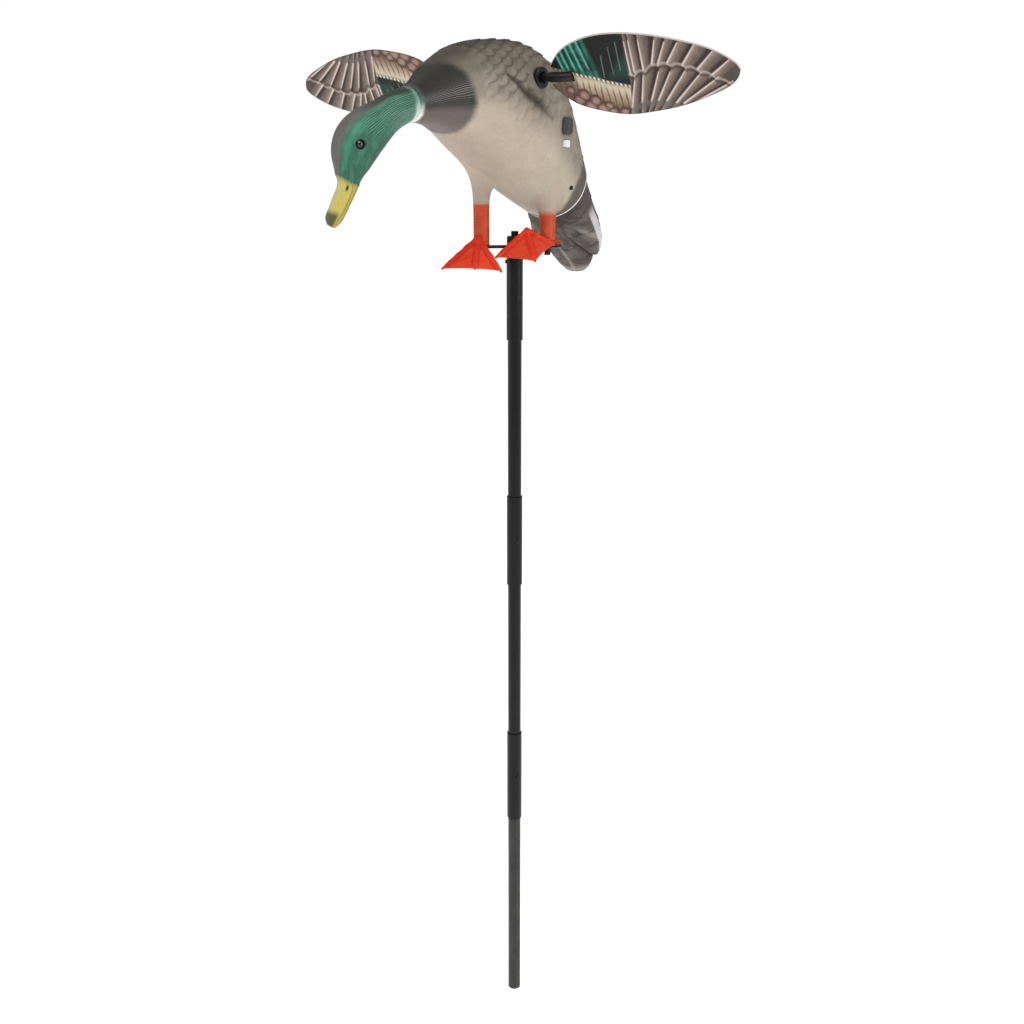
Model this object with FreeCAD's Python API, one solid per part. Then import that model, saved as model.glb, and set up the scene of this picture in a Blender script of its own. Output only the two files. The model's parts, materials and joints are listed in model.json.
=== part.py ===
import FreeCAD, Part
import math
import os

# Motion wing decoy on a three-section stake.  All sizes are in millimetres.
# Frame: origin at the centre of the stake's bottom end, +Z up the stake,
# -Y the way the duck faces, +X the duck's left.

os.makedirs("parts", exist_ok=True)

# ---------------------------------------------------------------- driving dimensions
# stake
TUBE_R = 9.525
TUBE_WALL = 1.5
SLEEVE_R = 11.1
SLEEVE_BORE_R = 9.60
LOWER_STOP_Z = 374.8
MIDDLE_STOP_Z = 746.9
TOP_STOP_Z = 1092.0
LOWER_SLEEVE = (303.8, 445.7)
MIDDLE_SLEEVE = (680.9, 812.9)
TOP_SLEEVE = (1033.6, 1146.0)
RIVET_R = 2.0
TUBE_END_GAP = 2.4
GROOVE_DEPTH = 0.3
GROOVE_WIDTH = 1.8
RIVET_HEAD = 0.7
RIVET_HEAD_R = 3.1
HEAD_SINK = 0.25

# swivel, plate and leg screws
COLLAR_R = 10.6
COLLAR_Z = (1146.4, 1157.5)
STUD_R = 5.0
STUD_TOP_Z = 1179.0
PLATE_Z = (1157.5, 1160.5)
PLATE_HALF_LENGTH = 65.0
PLATE_WIDTH = 24.0
NUT_R = 10.6
NUT_HEIGHT = 12.0
GRIP_COUNT = 12
GRIP_R = 1.7
GRIP_CENTRE_R = 11.7
LOCK_SCREW_Z = 1139.0
LOCK_SCREW_R = 2.5
LOCK_SCREW_PROUD = 1.8
LEG_SCREW_R = 2.0
LEG_SCREW_HEAD_R = 4.2
LEG_SCREW_HEAD = 10.5
LEG_SCREW_DEPTH = 24.0
SCREW_GAP = 0.2

# legs and feet: the right leg stands forward, the left leg back
LEG_X = 28.0
LEG_T = 36.0
LEG_R = 10.6
ANKLE_Z = 1166.5
HEEL_R = 10.6
WEB_THICKNESS = 2.6
WEB_SCALLOP = 0.12
LEG_ROOM = 60.0
TOE_R = 3.4
TOE_TIP_R = 2.0

# body shell
SHELL_WALL = 2.6
RIM_PITCH = 28.0
RIM_HALF_HEIGHT = 46.0
RIM_HALF_WIDTH = 51.5
RIM_T = -89.6
RIM_Z = 1234.6
TAIL_GAP = 0.35
OVERRUN = 3.0
SKIRT_DEPTH = 40.0
SKIRT_WALL = 2.4
SKIRT_STEP = 0.5
SKIRT_LAP = 5.0

# drive
AXLE_T = 40.7
AXLE_Z = 1366.6
AXLE_R = 3.0
AXLE_HALF = 98.0
RUNNING_GAP = 0.06
BUSH_FACE_X = 75.0
BUSH_FLANGE_R = 12.9
BUSH_FLANGE = 6.0
BUSH_SPIGOT_R = 9.5
BUSH_INNER_X = 55.0
BUSH_RECESS_R = 7.4
BUSH_RECESS = 4.5
MOTOR_R = 17.5
MOTOR_HALF = 28.0
HOUSING_R = 21.0
HOUSING_HALF = 33.0
HOUSING_NECK_R = 11.8
HOUSING_NECK_END = 60.5
SPLIT_GAP = 0.2

# wings
WING_PITCH = 55.0
WING_THICKNESS = 1.6
POST_R = 6.5
POST_NECK_R = 5.4
POST_START_X = 72.5
POST_NECK_END_X = 87.0
POST_END_X = 121.0
SLOT_START_X = 100.0

# controls on the left flank
PANEL_T = -24.0
PANEL_Z = 1312.0
BUTTON_SIZE = (30.0, 20.0)
BUTTON_CORNER = 6.0
PORT_SIZE = (17.0, 9.0)
PORT_CORNER = 2.5
PORT_DROP = 22.0
PANEL_GAP = 0.4

# ---------------------------------------------------------------- helpers
Z_AXIS = FreeCAD.Vector(0, 0, 1)
X_AXIS = FreeCAD.Vector(1, 0, 0)


def place(x, ahead, z):
    """Point from its left offset, its distance ahead of the stake and its height."""
    return FreeCAD.Vector(x, -ahead, z)


def side_vector(ahead, up):
    """Direction in the middle plane from its forward and upward parts."""
    return FreeCAD.Vector(0, -ahead, up)


def export(shape, name):
    if len(shape.Solids) == 1:
        shape = shape.Solids[0]
    shape.exportStep("parts/" + name + ".step")


def tube(outer_r, inner_r, z_low, z_high):
    outer = Part.makeCylinder(outer_r, z_high - z_low, FreeCAD.Vector(0, 0, z_low))
    inner = Part.makeCylinder(inner_r, z_high - z_low, FreeCAD.Vector(0, 0, z_low))
    return outer.cut(inner)


def rod(start, end, radius):
    return Part.makeCylinder(radius, (end - start).Length, start, end - start)


def x_rod(radius, x_low, x_high):
    """Cylinder along the wing axle's line."""
    return Part.makeCylinder(radius, x_high - x_low, place(x_low, AXLE_T, AXLE_Z), X_AXIS)


def tall_hole(centre, radius, half_height=20.0):
    """Upright cutter reaching well past a point both ways."""
    return Part.makeCylinder(radius, 2 * half_height, centre - Z_AXIS * half_height)


def round_edges(shape, radius, keep):
    edges = [edge for edge in shape.Edges if keep(edge)]
    return shape.makeFillet(radius, edges)


def oval(low, high, half_width, across, inset=0.0, squareness=2.15, count=20):
    """Closed smooth section standing on the line from a low point to a high point."""
    centre = (low + high) * 0.5
    up = (high - low).normalize()
    half_height = (high - low).Length / 2 - inset
    half_width = half_width - inset
    points = []
    for i in range(count):
        angle = 2 * math.pi * i / count
        cosine = math.cos(angle)
        sine = math.sin(angle)
        side = math.copysign(abs(cosine) ** (2 / squareness), cosine) * half_width
        rise = math.copysign(abs(sine) ** (2 / squareness), sine) * half_height
        points.append(centre + across * side + up * rise)
    curve = Part.BSplineCurve()
    curve.interpolate(points, PeriodicFlag=True)
    return Part.Wire([curve.toShape()])


def even_sections(rows, count):
    """Smoothly spaced sections through a few given ones.

    Each row is (low pair, high pair, half width); a pair is a reach and a height.
    """
    marks = [0.0]
    for before, after in zip(rows[:-1], rows[1:]):
        steps = [math.dist(before[0], after[0]), math.dist(before[1], after[1])]
        marks.append(marks[-1] + max(1.0, sum(steps) / 2))
    lows = Part.BSplineCurve()
    lows.interpolate([FreeCAD.Vector(row[0][0], row[0][1], row[2]) for row in rows], Parameters=marks)
    highs = Part.BSplineCurve()
    highs.interpolate([FreeCAD.Vector(row[1][0], row[1][1], 0) for row in rows], Parameters=marks)
    sections = []
    for i in range(count):
        at = marks[-1] * i / (count - 1)
        low = lows.value(at)
        high = highs.value(at)
        sections.append(((low.x, low.y), (high.x, high.y), low.z))
    return sections


def section_loft(rows, inset=0.0, squareness=2.15, seat=None):
    """Solid through sections of the middle plane, or of the plane that seat bends them into."""
    wires = []
    for low, high, half_width in rows:
        if seat:
            points = [seat(low[0], low[1]), seat(high[0], high[1])]
            across = seat((low[0] + high[0]) / 2, None)
        else:
            points = [side_vector(*low), side_vector(*high)]
            across = X_AXIS
        wires.append(oval(points[0], points[1], half_width, across, inset, squareness))
    return Part.makeLoft(wires, True, False)


def mirror_x(shape):
    return shape.mirror(FreeCAD.Vector(0, 0, 0), X_AXIS)


# ---------------------------------------------------------------- stake
def stake_tube(z_low, z_high, sleeve_z):
    """Tube with a shallow groove rolled in where its upper sleeve ends."""
    groove = tube(2 * TUBE_R, TUBE_R - GROOVE_DEPTH, sleeve_z - GROOVE_WIDTH, sleeve_z)
    return tube(TUBE_R, TUBE_R - TUBE_WALL, z_low, z_high).cut(groove)


def stake_sleeve(span):
    sleeve = tube(SLEEVE_R, SLEEVE_BORE_R, span[0], span[1])
    return round_edges(sleeve, 0.5, lambda edge: abs(edge.Length - 2 * math.pi * SLEEVE_R) < 0.01)


def cross_hole(z, radius, facing):
    start = FreeCAD.Vector(0, 0, z) - facing * 2 * SLEEVE_R
    return Part.makeCylinder(radius, 4 * SLEEVE_R, start, facing)


def stop_rivet(z, facing):
    """Rivet straight through a sleeve, on which the tube ends stop."""
    half = SLEEVE_R + RIVET_HEAD
    start = FreeCAD.Vector(0, 0, z) - facing * half
    rivet = Part.makeCylinder(RIVET_R, 2 * half, start, facing)
    for side in (-1, 1):
        base = FreeCAD.Vector(0, 0, z) + facing * side * (SLEEVE_R - HEAD_SINK)
        rivet = rivet.fuse(Part.makeCylinder(RIVET_HEAD_R, RIVET_HEAD + HEAD_SINK, base, facing * side))
    return rivet.removeSplitter()


RIVET_FACING = FreeCAD.Vector(0.914, -0.405, 0).normalize()
rivet_levels = {"lower": LOWER_STOP_Z, "middle": MIDDLE_STOP_Z, "top": TOP_STOP_Z}
sleeve_spans = {"lower": LOWER_SLEEVE, "middle": MIDDLE_SLEEVE, "top": TOP_SLEEVE}
tube_spans = {
    "lower": (0.0, LOWER_STOP_Z - TUBE_END_GAP, LOWER_SLEEVE[0]),
    "middle": (LOWER_STOP_Z + TUBE_END_GAP, MIDDLE_STOP_Z - TUBE_END_GAP, MIDDLE_SLEEVE[0]),
    "upper": (MIDDLE_STOP_Z + TUBE_END_GAP, TOP_STOP_Z - TUBE_END_GAP, TOP_SLEEVE[0]),
}

for level, span in tube_spans.items():
    export(stake_tube(span[0], span[1], span[2]), level + "_stake_tube")

LOCK_FACING = FreeCAD.Vector(-0.79, -0.61, 0).normalize()
for level, span in sleeve_spans.items():
    hole = cross_hole(rivet_levels[level], RIVET_R, RIVET_FACING)
    sleeve = stake_sleeve(span).cut(hole)
    if level == "top":
        thread_start = FreeCAD.Vector(0, 0, LOCK_SCREW_Z)
        sleeve = sleeve.cut(rod(thread_start, thread_start + LOCK_FACING * 2 * SLEEVE_R, LOCK_SCREW_R))
    export(sleeve, level + "_stake_sleeve")
    rivet = stop_rivet(rivet_levels[level], RIVET_FACING)
    ring = tube(SLEEVE_R, SLEEVE_BORE_R, span[0], span[1]).cut(hole)
    export(rivet.cut(ring), level + "_stop_rivet")

# ---------------------------------------------------------------- swivel post, plate and screws
post_stem = Part.makeCylinder(TUBE_R, COLLAR_Z[0] - TOP_STOP_Z - TUBE_END_GAP,
                              FreeCAD.Vector(0, 0, TOP_STOP_Z + TUBE_END_GAP))
collar = Part.makeCylinder(COLLAR_R, COLLAR_Z[1] - COLLAR_Z[0], FreeCAD.Vector(0, 0, COLLAR_Z[0]))
stud = Part.makeCylinder(STUD_R, STUD_TOP_Z - COLLAR_Z[1], FreeCAD.Vector(0, 0, COLLAR_Z[1]))
swivel_post = post_stem.fuse([collar, stud]).removeSplitter()
swivel_post = round_edges(swivel_post, 0.8, lambda edge: edge.BoundBox.ZMin > STUD_TOP_Z - 0.01)
export(swivel_post, "swivel_post")

lock_seat = FreeCAD.Vector(0, 0, LOCK_SCREW_Z) + LOCK_FACING * (SLEEVE_BORE_R + 0.02)
lock_end = FreeCAD.Vector(0, 0, LOCK_SCREW_Z) + LOCK_FACING * (SLEEVE_R + LOCK_SCREW_PROUD)
export(rod(lock_seat, lock_end, LOCK_SCREW_R), "lock_screw")

nut_base = FreeCAD.Vector(0, 0, PLATE_Z[1])
nut = Part.makeCylinder(NUT_R, NUT_HEIGHT, nut_base)
nut = round_edges(nut, 1.2, lambda edge: edge.BoundBox.ZMin > PLATE_Z[1] + NUT_HEIGHT - 0.01)
for i in range(GRIP_COUNT):
    angle = 2 * math.pi * i / GRIP_COUNT
    centre = nut_base + FreeCAD.Vector(math.cos(angle), math.sin(angle), 0) * GRIP_CENTRE_R
    nut = nut.cut(Part.makeCylinder(GRIP_R, NUT_HEIGHT, centre))
nut = nut.cut(Part.makeCylinder(STUD_R + RUNNING_GAP, NUT_HEIGHT, nut_base))
export(nut, "clamp_nut")

# the plate runs from under the right foot to under the left foot
leg_right = place(-LEG_X, LEG_T, 0)
leg_left = place(LEG_X, -LEG_T, 0)
plate_run = (leg_left - leg_right).normalize()
plate_side = Z_AXIS.cross(plate_run)


def plate_block():
    half_width = PLATE_WIDTH / 2
    straight = PLATE_HALF_LENGTH - half_width
    base = FreeCAD.Vector(0, 0, PLATE_Z[0])
    corners = []
    for along, across in ((-1, -1), (1, -1), (1, 1), (-1, 1)):
        corners.append(base + plate_run * along * straight + plate_side * across * half_width)
    end_left = base + plate_run * PLATE_HALF_LENGTH
    end_right = base - plate_run * PLATE_HALF_LENGTH
    edges = [
        Part.makeLine(corners[0], corners[1]),
        Part.Arc(corners[1], end_left, corners[2]).toShape(),
        Part.makeLine(corners[2], corners[3]),
        Part.Arc(corners[3], end_right, corners[0]).toShape(),
    ]
    return Part.Face(Part.Wire(edges)).extrude(Z_AXIS * (PLATE_Z[1] - PLATE_Z[0]))


plate = plate_block().cut(tall_hole(FreeCAD.Vector(0, 0, PLATE_Z[0]), STUD_R + RUNNING_GAP))
for leg in (leg_right, leg_left):
    plate = plate.cut(tall_hole(leg + Z_AXIS * PLATE_Z[0], LEG_SCREW_R + SCREW_GAP))
export(plate, "foot_plate")


def leg_screw(leg):
    head = Part.makeCylinder(LEG_SCREW_HEAD_R, LEG_SCREW_HEAD, leg + Z_AXIS * (PLATE_Z[0] - LEG_SCREW_HEAD))
    head = round_edges(head, 0.6, lambda edge: edge.BoundBox.ZMax < PLATE_Z[0] - LEG_SCREW_HEAD + 0.01)
    shank = Part.makeCylinder(LEG_SCREW_R, ANKLE_Z + LEG_SCREW_DEPTH - PLATE_Z[0], leg + Z_AXIS * PLATE_Z[0])
    return head.fuse(shank).removeSplitter()


export(Part.makeCompound([leg_screw(leg_right), leg_screw(leg_left)]), "leg_screws")

# ---------------------------------------------------------------- feet
def toe(root, tip):
    """Tapering toe with rounded ends."""
    length = (tip - root).Length
    bone = Part.makeCone(TOE_R, TOE_TIP_R, length, root, tip - root)
    return bone.fuse([Part.makeSphere(TOE_R, root), Part.makeSphere(TOE_TIP_R, tip)])


def web(root, tip_a, tip_b):
    """Skin between two toes, its free edge drawn in as an arc."""
    middle = (tip_a + tip_b) * 0.5
    hollow = middle + (root - middle) * WEB_SCALLOP
    edges = [
        Part.makeLine(root, tip_a),
        Part.Arc(tip_a, hollow, tip_b).toShape(),
        Part.makeLine(tip_b, root),
    ]
    face = Part.Face(Part.Wire(edges))
    normal = (tip_a - root).cross(tip_b - root).normalize()
    face.translate(normal * (-WEB_THICKNESS / 2))
    return face.extrude(normal * WEB_THICKNESS)


def foot(leg, ankle, tips, heel_tip):
    """Webbed foot hung from a heel pad that sits on the plate."""
    pad = Part.makeCylinder(HEEL_R, ANKLE_Z - PLATE_Z[1], leg + Z_AXIS * PLATE_Z[1])
    heel = leg + Z_AXIS * ((ANKLE_Z + PLATE_Z[1]) / 2)
    pieces = [toe(heel, ankle)]
    for tip in tips:
        pieces.append(toe(ankle, tip))
    for tip_a, tip_b in zip(tips[:-1], tips[1:]):
        pieces.append(web(ankle, tip_a, tip_b))
    pieces.append(toe(heel, heel_tip))
    solid = pad.fuse(pieces).removeSplitter()
    leg_room = Part.makeCylinder(LEG_R + 0.3, LEG_ROOM, leg + Z_AXIS * ANKLE_Z)
    screw_hole = tall_hole(leg + Z_AXIS * ANKLE_Z, LEG_SCREW_R + SCREW_GAP)
    return solid.cut([leg_room, plate_block(), screw_hole])


right_foot = foot(
    leg_right,
    place(-22.5, 50.0, 1171.5),
    [place(-62.7, 76.4, 1131.1), place(-14.1, 67.5, 1132.8), place(19.5, 54.3, 1130.3)],
    place(-33.0, 20.0, 1164.0),
)
left_foot = foot(
    leg_left,
    place(23.8, 5.0, 1181.0),
    [place(-3.6, 36.2, 1146.0), place(37.6, 4.5, 1141.3), place(44.0, -29.0, 1161.5)],
    place(39.0, -50.0, 1164.0),
)
export(right_foot, "right_foot")
export(left_foot, "left_foot")

# ---------------------------------------------------------------- body shell
rim_slope = math.radians(RIM_PITCH)
rim_forward = side_vector(math.cos(rim_slope), math.sin(rim_slope))
rim_up = side_vector(-math.sin(rim_slope), math.cos(rim_slope))
rim_centre = place(0, RIM_T, RIM_Z)


def rim_point(forward, up):
    """(ahead, height) pair measured from the rim's centre along the body's own slope."""
    point = rim_centre + rim_forward * forward + rim_up * up
    return (-point.y, point.z)


# belly point, back point and half width of each section, rim to neck
BODY_SECTIONS = [
    (rim_point(0, -RIM_HALF_HEIGHT), rim_point(0, RIM_HALF_HEIGHT), RIM_HALF_WIDTH),
    ((-38, 1206), (-96, 1308), 56),
    ((-5, 1220), (-76, 1349), 62),
    ((30, 1238), (-40, 1390), 70),
    ((62, 1254), (8, 1412), 73.5),
    ((90, 1272), (60, 1413), 73),
    ((119, 1290), (110, 1404), 63),
    ((152, 1304), (154, 1384), 47),
    ((182, 1310), (185, 1363), 31),
    ((206, 1311), (209, 1351), 21),
]
body_rows = even_sections(BODY_SECTIONS, 14)


def moved_row(row, ahead, up):
    """The same section moved along the middle plane."""
    low = (row[0][0] + ahead, row[0][1] + up)
    high = (row[1][0] + ahead, row[1][1] + up)
    return (low, high, row[2])


def overrun_rows(rows, rear, front):
    """The same sections with both ends carried past the openings."""
    rear_end = moved_row(rows[0], -rear * math.cos(rim_slope), -rear * math.sin(rim_slope))
    return [rear_end] + rows + [moved_row(rows[-1], front, 0)]


def leg_form(leg, profile):
    """Leg flaring upward into the belly; rows are height, radius, forward and inward lean."""
    inward = -math.copysign(1.0, leg.x)
    wires = []
    for z, radius, lean, draw in profile:
        centre = leg + place(inward * draw, lean, z)
        wires.append(Part.Wire([Part.makeCircle(radius, centre, Z_AXIS)]))
    return Part.makeLoft(wires, True, False)


RIGHT_LEG = [
    (ANKLE_Z, LEG_R, 0, 0),
    (1176, LEG_R, 0, 0),
    (1186, LEG_R, 0, 0),
    (1196, LEG_R, 0, 0),
    (1222, 11.6, 1, 0),
    (1246, 17, 7, 0),
    (1275, 25, 14, 2),
]
LEFT_LEG = [
    (ANKLE_Z, LEG_R, 0, 0),
    (1174, LEG_R, 0, 0),
    (1184, 11.6, 0, 0),
    (1198, 14.2, 1, 1),
    (1214, 16.0, 4, 5),
    (1236, 14.0, 12, 12),
]

body_outer = section_loft(body_rows)
body_inner = section_loft(overrun_rows(body_rows, OVERRUN, OVERRUN), SHELL_WALL)
legs = [leg_form(leg_right, RIGHT_LEG), leg_form(leg_left, LEFT_LEG)]
body_shell = body_outer.fuse(legs).cut(body_inner)
for leg in (leg_right, leg_left):
    body_shell = body_shell.cut(Part.makeCylinder(LEG_SCREW_R, LEG_SCREW_DEPTH + 1, leg + Z_AXIS * ANKLE_Z))
body_shell = body_shell.cut(x_rod(BUSH_SPIGOT_R, -AXLE_HALF, AXLE_HALF))


def flank_point(ahead, z, side=1):
    """Point of the shell's skin straight out along X from a point of the middle plane."""
    start = place(0, ahead, z)
    inside = Part.makeLine(start, start + X_AXIS * side * 2 * AXLE_HALF).common(body_outer)
    reach = max(abs(vertex.Point.x) for vertex in inside.Vertexes)
    return place(side * reach, ahead, z)


# the control panel's own directions: out of the flank, along it and up it
STEP = 8.0
panel_centre = flank_point(PANEL_T, PANEL_Z)
run_along = flank_point(PANEL_T - STEP, PANEL_Z) - flank_point(PANEL_T + STEP, PANEL_Z)
run_up = flank_point(PANEL_T, PANEL_Z + STEP) - flank_point(PANEL_T, PANEL_Z - STEP)
panel_out = run_along.cross(run_up).normalize()
panel_along = Z_AXIS.cross(panel_out).normalize()
panel_up = panel_out.cross(panel_along)
port_centre = panel_centre - panel_up * PORT_DROP


def panel_block(centre, length, height, depth_low, depth_high, corner=0.0):
    """Block lying against the flank; depths are measured outward from the panel centre."""
    block = Part.makeBox(length, height, depth_high - depth_low,
                         FreeCAD.Vector(-length / 2, -height / 2, depth_low))
    if corner:
        block = round_edges(block, corner, lambda edge: abs(edge.tangentAt(edge.FirstParameter).z) > 0.99)
    turn = FreeCAD.Rotation(panel_along, panel_up, panel_out, "XYZ")
    block.Placement = FreeCAD.Placement(centre, turn)
    return block


def panel_hole(centre, size, corner):
    """Opening through the flank, a little larger than the piece that fills it."""
    length = size[0] + 2 * PANEL_GAP
    height = size[1] + 2 * PANEL_GAP
    return panel_block(centre, length, height, -12.0, 20.0, corner + PANEL_GAP)


button_hole = panel_hole(panel_centre, BUTTON_SIZE, BUTTON_CORNER)
port_hole = panel_hole(port_centre, PORT_SIZE, PORT_CORNER)
body_shell = body_shell.cut([button_hole, port_hole])

# side screws that hold the tail cap, through the flanks just ahead of the rim
TAIL_SCREW_AHEAD = 30.0
TAIL_SCREW_DROP = 16.0
TAIL_SCREW_R = 1.6
TAIL_SCREW_HEAD_R = 3.1
tail_screw_seat = rim_point(TAIL_SCREW_AHEAD, -TAIL_SCREW_DROP)
tail_screw_line = side_vector(*tail_screw_seat)
for side in (-1, 1):
    body_shell = body_shell.cut(Part.makeCylinder(TAIL_SCREW_R, 90, tail_screw_line, X_AXIS * side))
export(body_shell, "body_shell")

# ---------------------------------------------------------------- head and neck
# The neck bends to the duck's right over its first stretch; reach is measured along it
# from the neck ring.  Rows hold throat point, crown point and half width, ring to bill tip.
NECK_T = 207.8
HEAD_TURN = 28.0
BEND_LENGTH = 30.0
HEAD_SECTIONS = [
    ((-1.5, 1311), (1.5, 1351), 21),
    ((17, 1301), (25, 1344), 20),
    ((32, 1284), (47, 1333), 21),
    ((44, 1269), (68, 1323), 22.5),
    ((53, 1257), (87, 1306), 23),
    ((61, 1248), (96, 1280), 21),
    ((65, 1241), (93, 1257), 15.5),
    ((68, 1234), (90.5, 1243.5), 12),
    ((74, 1222.5), (95, 1231), 10.8),
    ((81.5, 1209), (101.5, 1216.5), 10.8),
    ((89, 1197.5), (106, 1204), 9),
    ((96, 1192), (104.5, 1196.5), 5),
]
HOLLOW_SECTIONS = 6


def neck_seat(reach, z):
    """Point along the turned neck, or with no height the sideways direction there."""
    full_turn = math.radians(HEAD_TURN)
    bend = min(max(reach, 0.0), BEND_LENGTH)
    turn = full_turn * bend / BEND_LENGTH
    if z is None:
        return FreeCAD.Vector(math.cos(turn), -math.sin(turn), 0)
    bend_radius = BEND_LENGTH / full_turn
    straight = reach - bend
    aside = bend_radius * (1 - math.cos(turn)) + straight * math.sin(turn)
    ahead = bend_radius * math.sin(turn) + straight * math.cos(turn)
    return place(-aside, NECK_T + ahead, z)


HEAD_WALL = 2.4
EYE_REACH = 68.7
EYE_Z = 1285.0
EYE_R = 4.2
EYE_SEAT = 19.0
EYE_STEM = 3.2
EYE_DOME_R = 6.0

head_rows = even_sections(HEAD_SECTIONS, 18)
head = section_loft(head_rows, 0.0, 2.0, neck_seat)
hollow_rows = even_sections(HEAD_SECTIONS[:HOLLOW_SECTIONS], 8)
neck_start = ((-5.0, 1311), (-2.0, 1351), 21)
head_hollow = section_loft([neck_start] + hollow_rows, HEAD_WALL, 2.0, neck_seat)
head = head.cut(head_hollow)
eye_centre = neck_seat(EYE_REACH, EYE_Z)
eye_across = neck_seat(EYE_REACH, None)
for side in (-1, 1):
    outward = eye_across * side
    head = head.cut(Part.makeCylinder(EYE_R, EYE_SEAT, eye_centre + outward * EYE_SEAT, outward))
export(head, "head_and_bill")


def eye(side):
    outward = eye_across * side
    seat = eye_centre + outward * EYE_SEAT
    stem = Part.makeCylinder(EYE_R, EYE_STEM, seat, outward)
    dome_base = seat + outward * EYE_STEM
    dome = Part.makeSphere(EYE_DOME_R, dome_base - outward * math.sqrt(EYE_DOME_R ** 2 - EYE_R ** 2))
    slab = Part.makeCylinder(EYE_R, EYE_DOME_R, dome_base, outward)
    return stem.fuse(dome.common(slab)).removeSplitter()


export(eye(1), "left_eye")
export(eye(-1), "right_eye")

# ---------------------------------------------------------------- tail cap
TAIL_FIT = SHELL_WALL + TAIL_GAP
skirt_wide = RIM_HALF_WIDTH - TAIL_FIT
skirt_high = RIM_HALF_HEIGHT - TAIL_FIT
TAIL_SECTIONS = [
    (rim_point(0, -skirt_high), rim_point(0, skirt_high), skirt_wide),
    ((-80, 1180), (-126, 1238), 51),
    ((-98, 1159), (-138, 1200), 55),
    ((-120, 1141), (-144, 1165), 51),
    ((-135, 1128), (-147, 1140), 36),
    ((-142, 1119), (-147, 1123), 16),
]
tail = section_loft(even_sections(TAIL_SECTIONS, 9), 0.0, 2.0)
TAIL_INSET = 2.4
tail_hollow = section_loft(even_sections(TAIL_SECTIONS[:3], 5), TAIL_INSET, 2.0)


def rim_ring(half_wide, half_high, start, depth, inset):
    """Solid oval plug along the body's slope."""
    low = rim_point(start, -half_high)
    high = rim_point(start, half_high)
    wire = oval(side_vector(*low), side_vector(*high), half_wide, X_AXIS, inset, 2.0)
    return Part.Face(wire).extrude(rim_forward * depth)


skirt = rim_ring(skirt_wide, skirt_high, -SKIRT_LAP, SKIRT_DEPTH + SKIRT_LAP, SKIRT_STEP)
bore_depth = SKIRT_DEPTH + 3 * SKIRT_LAP
skirt_bore = rim_ring(skirt_wide, skirt_high, -2 * SKIRT_LAP, bore_depth, SKIRT_STEP + SKIRT_WALL)
skirt = skirt.cut(skirt_bore)
tail_cap = tail.cut(tail_hollow).fuse(skirt)
SCREW_BOSS_R = 4.0
SCREW_BOSS = 7.0
BOSS_GAP = 2.6
TAIL_SCREW_HEAD = 1.4

tail_screws = []
for side in (-1, 1):
    outward = X_AXIS * side
    skin = flank_point(tail_screw_seat[0], tail_screw_seat[1], side)
    boss_end = skin - outward * (SHELL_WALL + BOSS_GAP)
    boss_start = boss_end - outward * SCREW_BOSS
    tail_cap = tail_cap.fuse(rod(boss_start, boss_end, SCREW_BOSS_R))
    screw_head = Part.makeCylinder(TAIL_SCREW_HEAD_R, TAIL_SCREW_HEAD, skin, outward)
    shank = rod(boss_start + outward, skin, TAIL_SCREW_R)
    tail_screws.append(screw_head.fuse(shank).removeSplitter())
tail_cap = tail_cap.cut(tail_screws)
export(tail_cap, "tail_cap")
tail_screws = [screw.cut(body_shell) for screw in tail_screws]
export(Part.makeCompound(tail_screws), "tail_screws")

# ---------------------------------------------------------------- wings
pitch = math.radians(WING_PITCH)
chord = side_vector(math.cos(pitch), math.sin(pitch))
wing_normal = X_AXIS.cross(chord)
wing_centre = place(0, AXLE_T, AXLE_Z)


def wing_point(along, across):
    return wing_centre + X_AXIS * along + chord * across


def wing_blade():
    """Flat blade, its root notched round the wing post."""
    notch = POST_R + 0.3
    root_x = 86.0
    root_top = (93.0, 17.0)
    root_low = (root_x, -12.0)
    tip = (342.5, -3.0)
    top_curve = [root_top, (111, 33), (135, 44), (162, 50), (197, 51), (237, 46), (285, 34), (322, 18.5), tip]
    low_curve = [tip, (333, -17), (306, -31), (262, -44.5), (215, -52), (180, -54), (145, -48), (108, -34)]
    edges = []
    for outline in (top_curve, low_curve + [root_low]):
        curve = Part.BSplineCurve()
        curve.interpolate([wing_point(*pair) for pair in outline])
        edges.append(curve.toShape())
    notch_low = [(root_x, -notch), (SLOT_START_X, -notch)]
    corners = [root_low] + notch_low + [(SLOT_START_X, notch), (root_top[0], notch), root_top]
    for start, end in zip(corners[:-1], corners[1:]):
        edges.append(Part.makeLine(wing_point(*start), wing_point(*end)))
    face = Part.Face(Part.Wire(Part.__sortEdges__(edges)))
    face.translate(wing_normal * (-WING_THICKNESS / 2))
    return face.extrude(wing_normal * WING_THICKNESS)


def wing_post():
    """Post that pushes onto the axle and grips the blade in a slot."""
    body = x_rod(POST_R, POST_NECK_END_X, POST_END_X)
    body = round_edges(body, 1.0, lambda edge: edge.BoundBox.XMin > POST_END_X - 0.01)
    neck = x_rod(POST_NECK_R, POST_START_X, POST_NECK_END_X)
    bore = x_rod(AXLE_R + 0.04, POST_START_X, AXLE_HALF + 1.0)
    slot = Part.makeBox(POST_END_X - SLOT_START_X + 1, 2 * POST_R + 2, WING_THICKNESS,
                        FreeCAD.Vector(SLOT_START_X, -POST_R - 1, -WING_THICKNESS / 2))
    turn = FreeCAD.Rotation(X_AXIS, chord, wing_normal, "XYZ")
    slot.Placement = FreeCAD.Placement(wing_centre, turn)
    return body.fuse(neck).removeSplitter().cut([bore, slot])


def far_side(shape):
    """The same piece on the duck's right: half a turn in the plane of the blade."""
    turned = shape.copy()
    turned.rotate(wing_centre, wing_normal, 180)
    return turned


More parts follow.
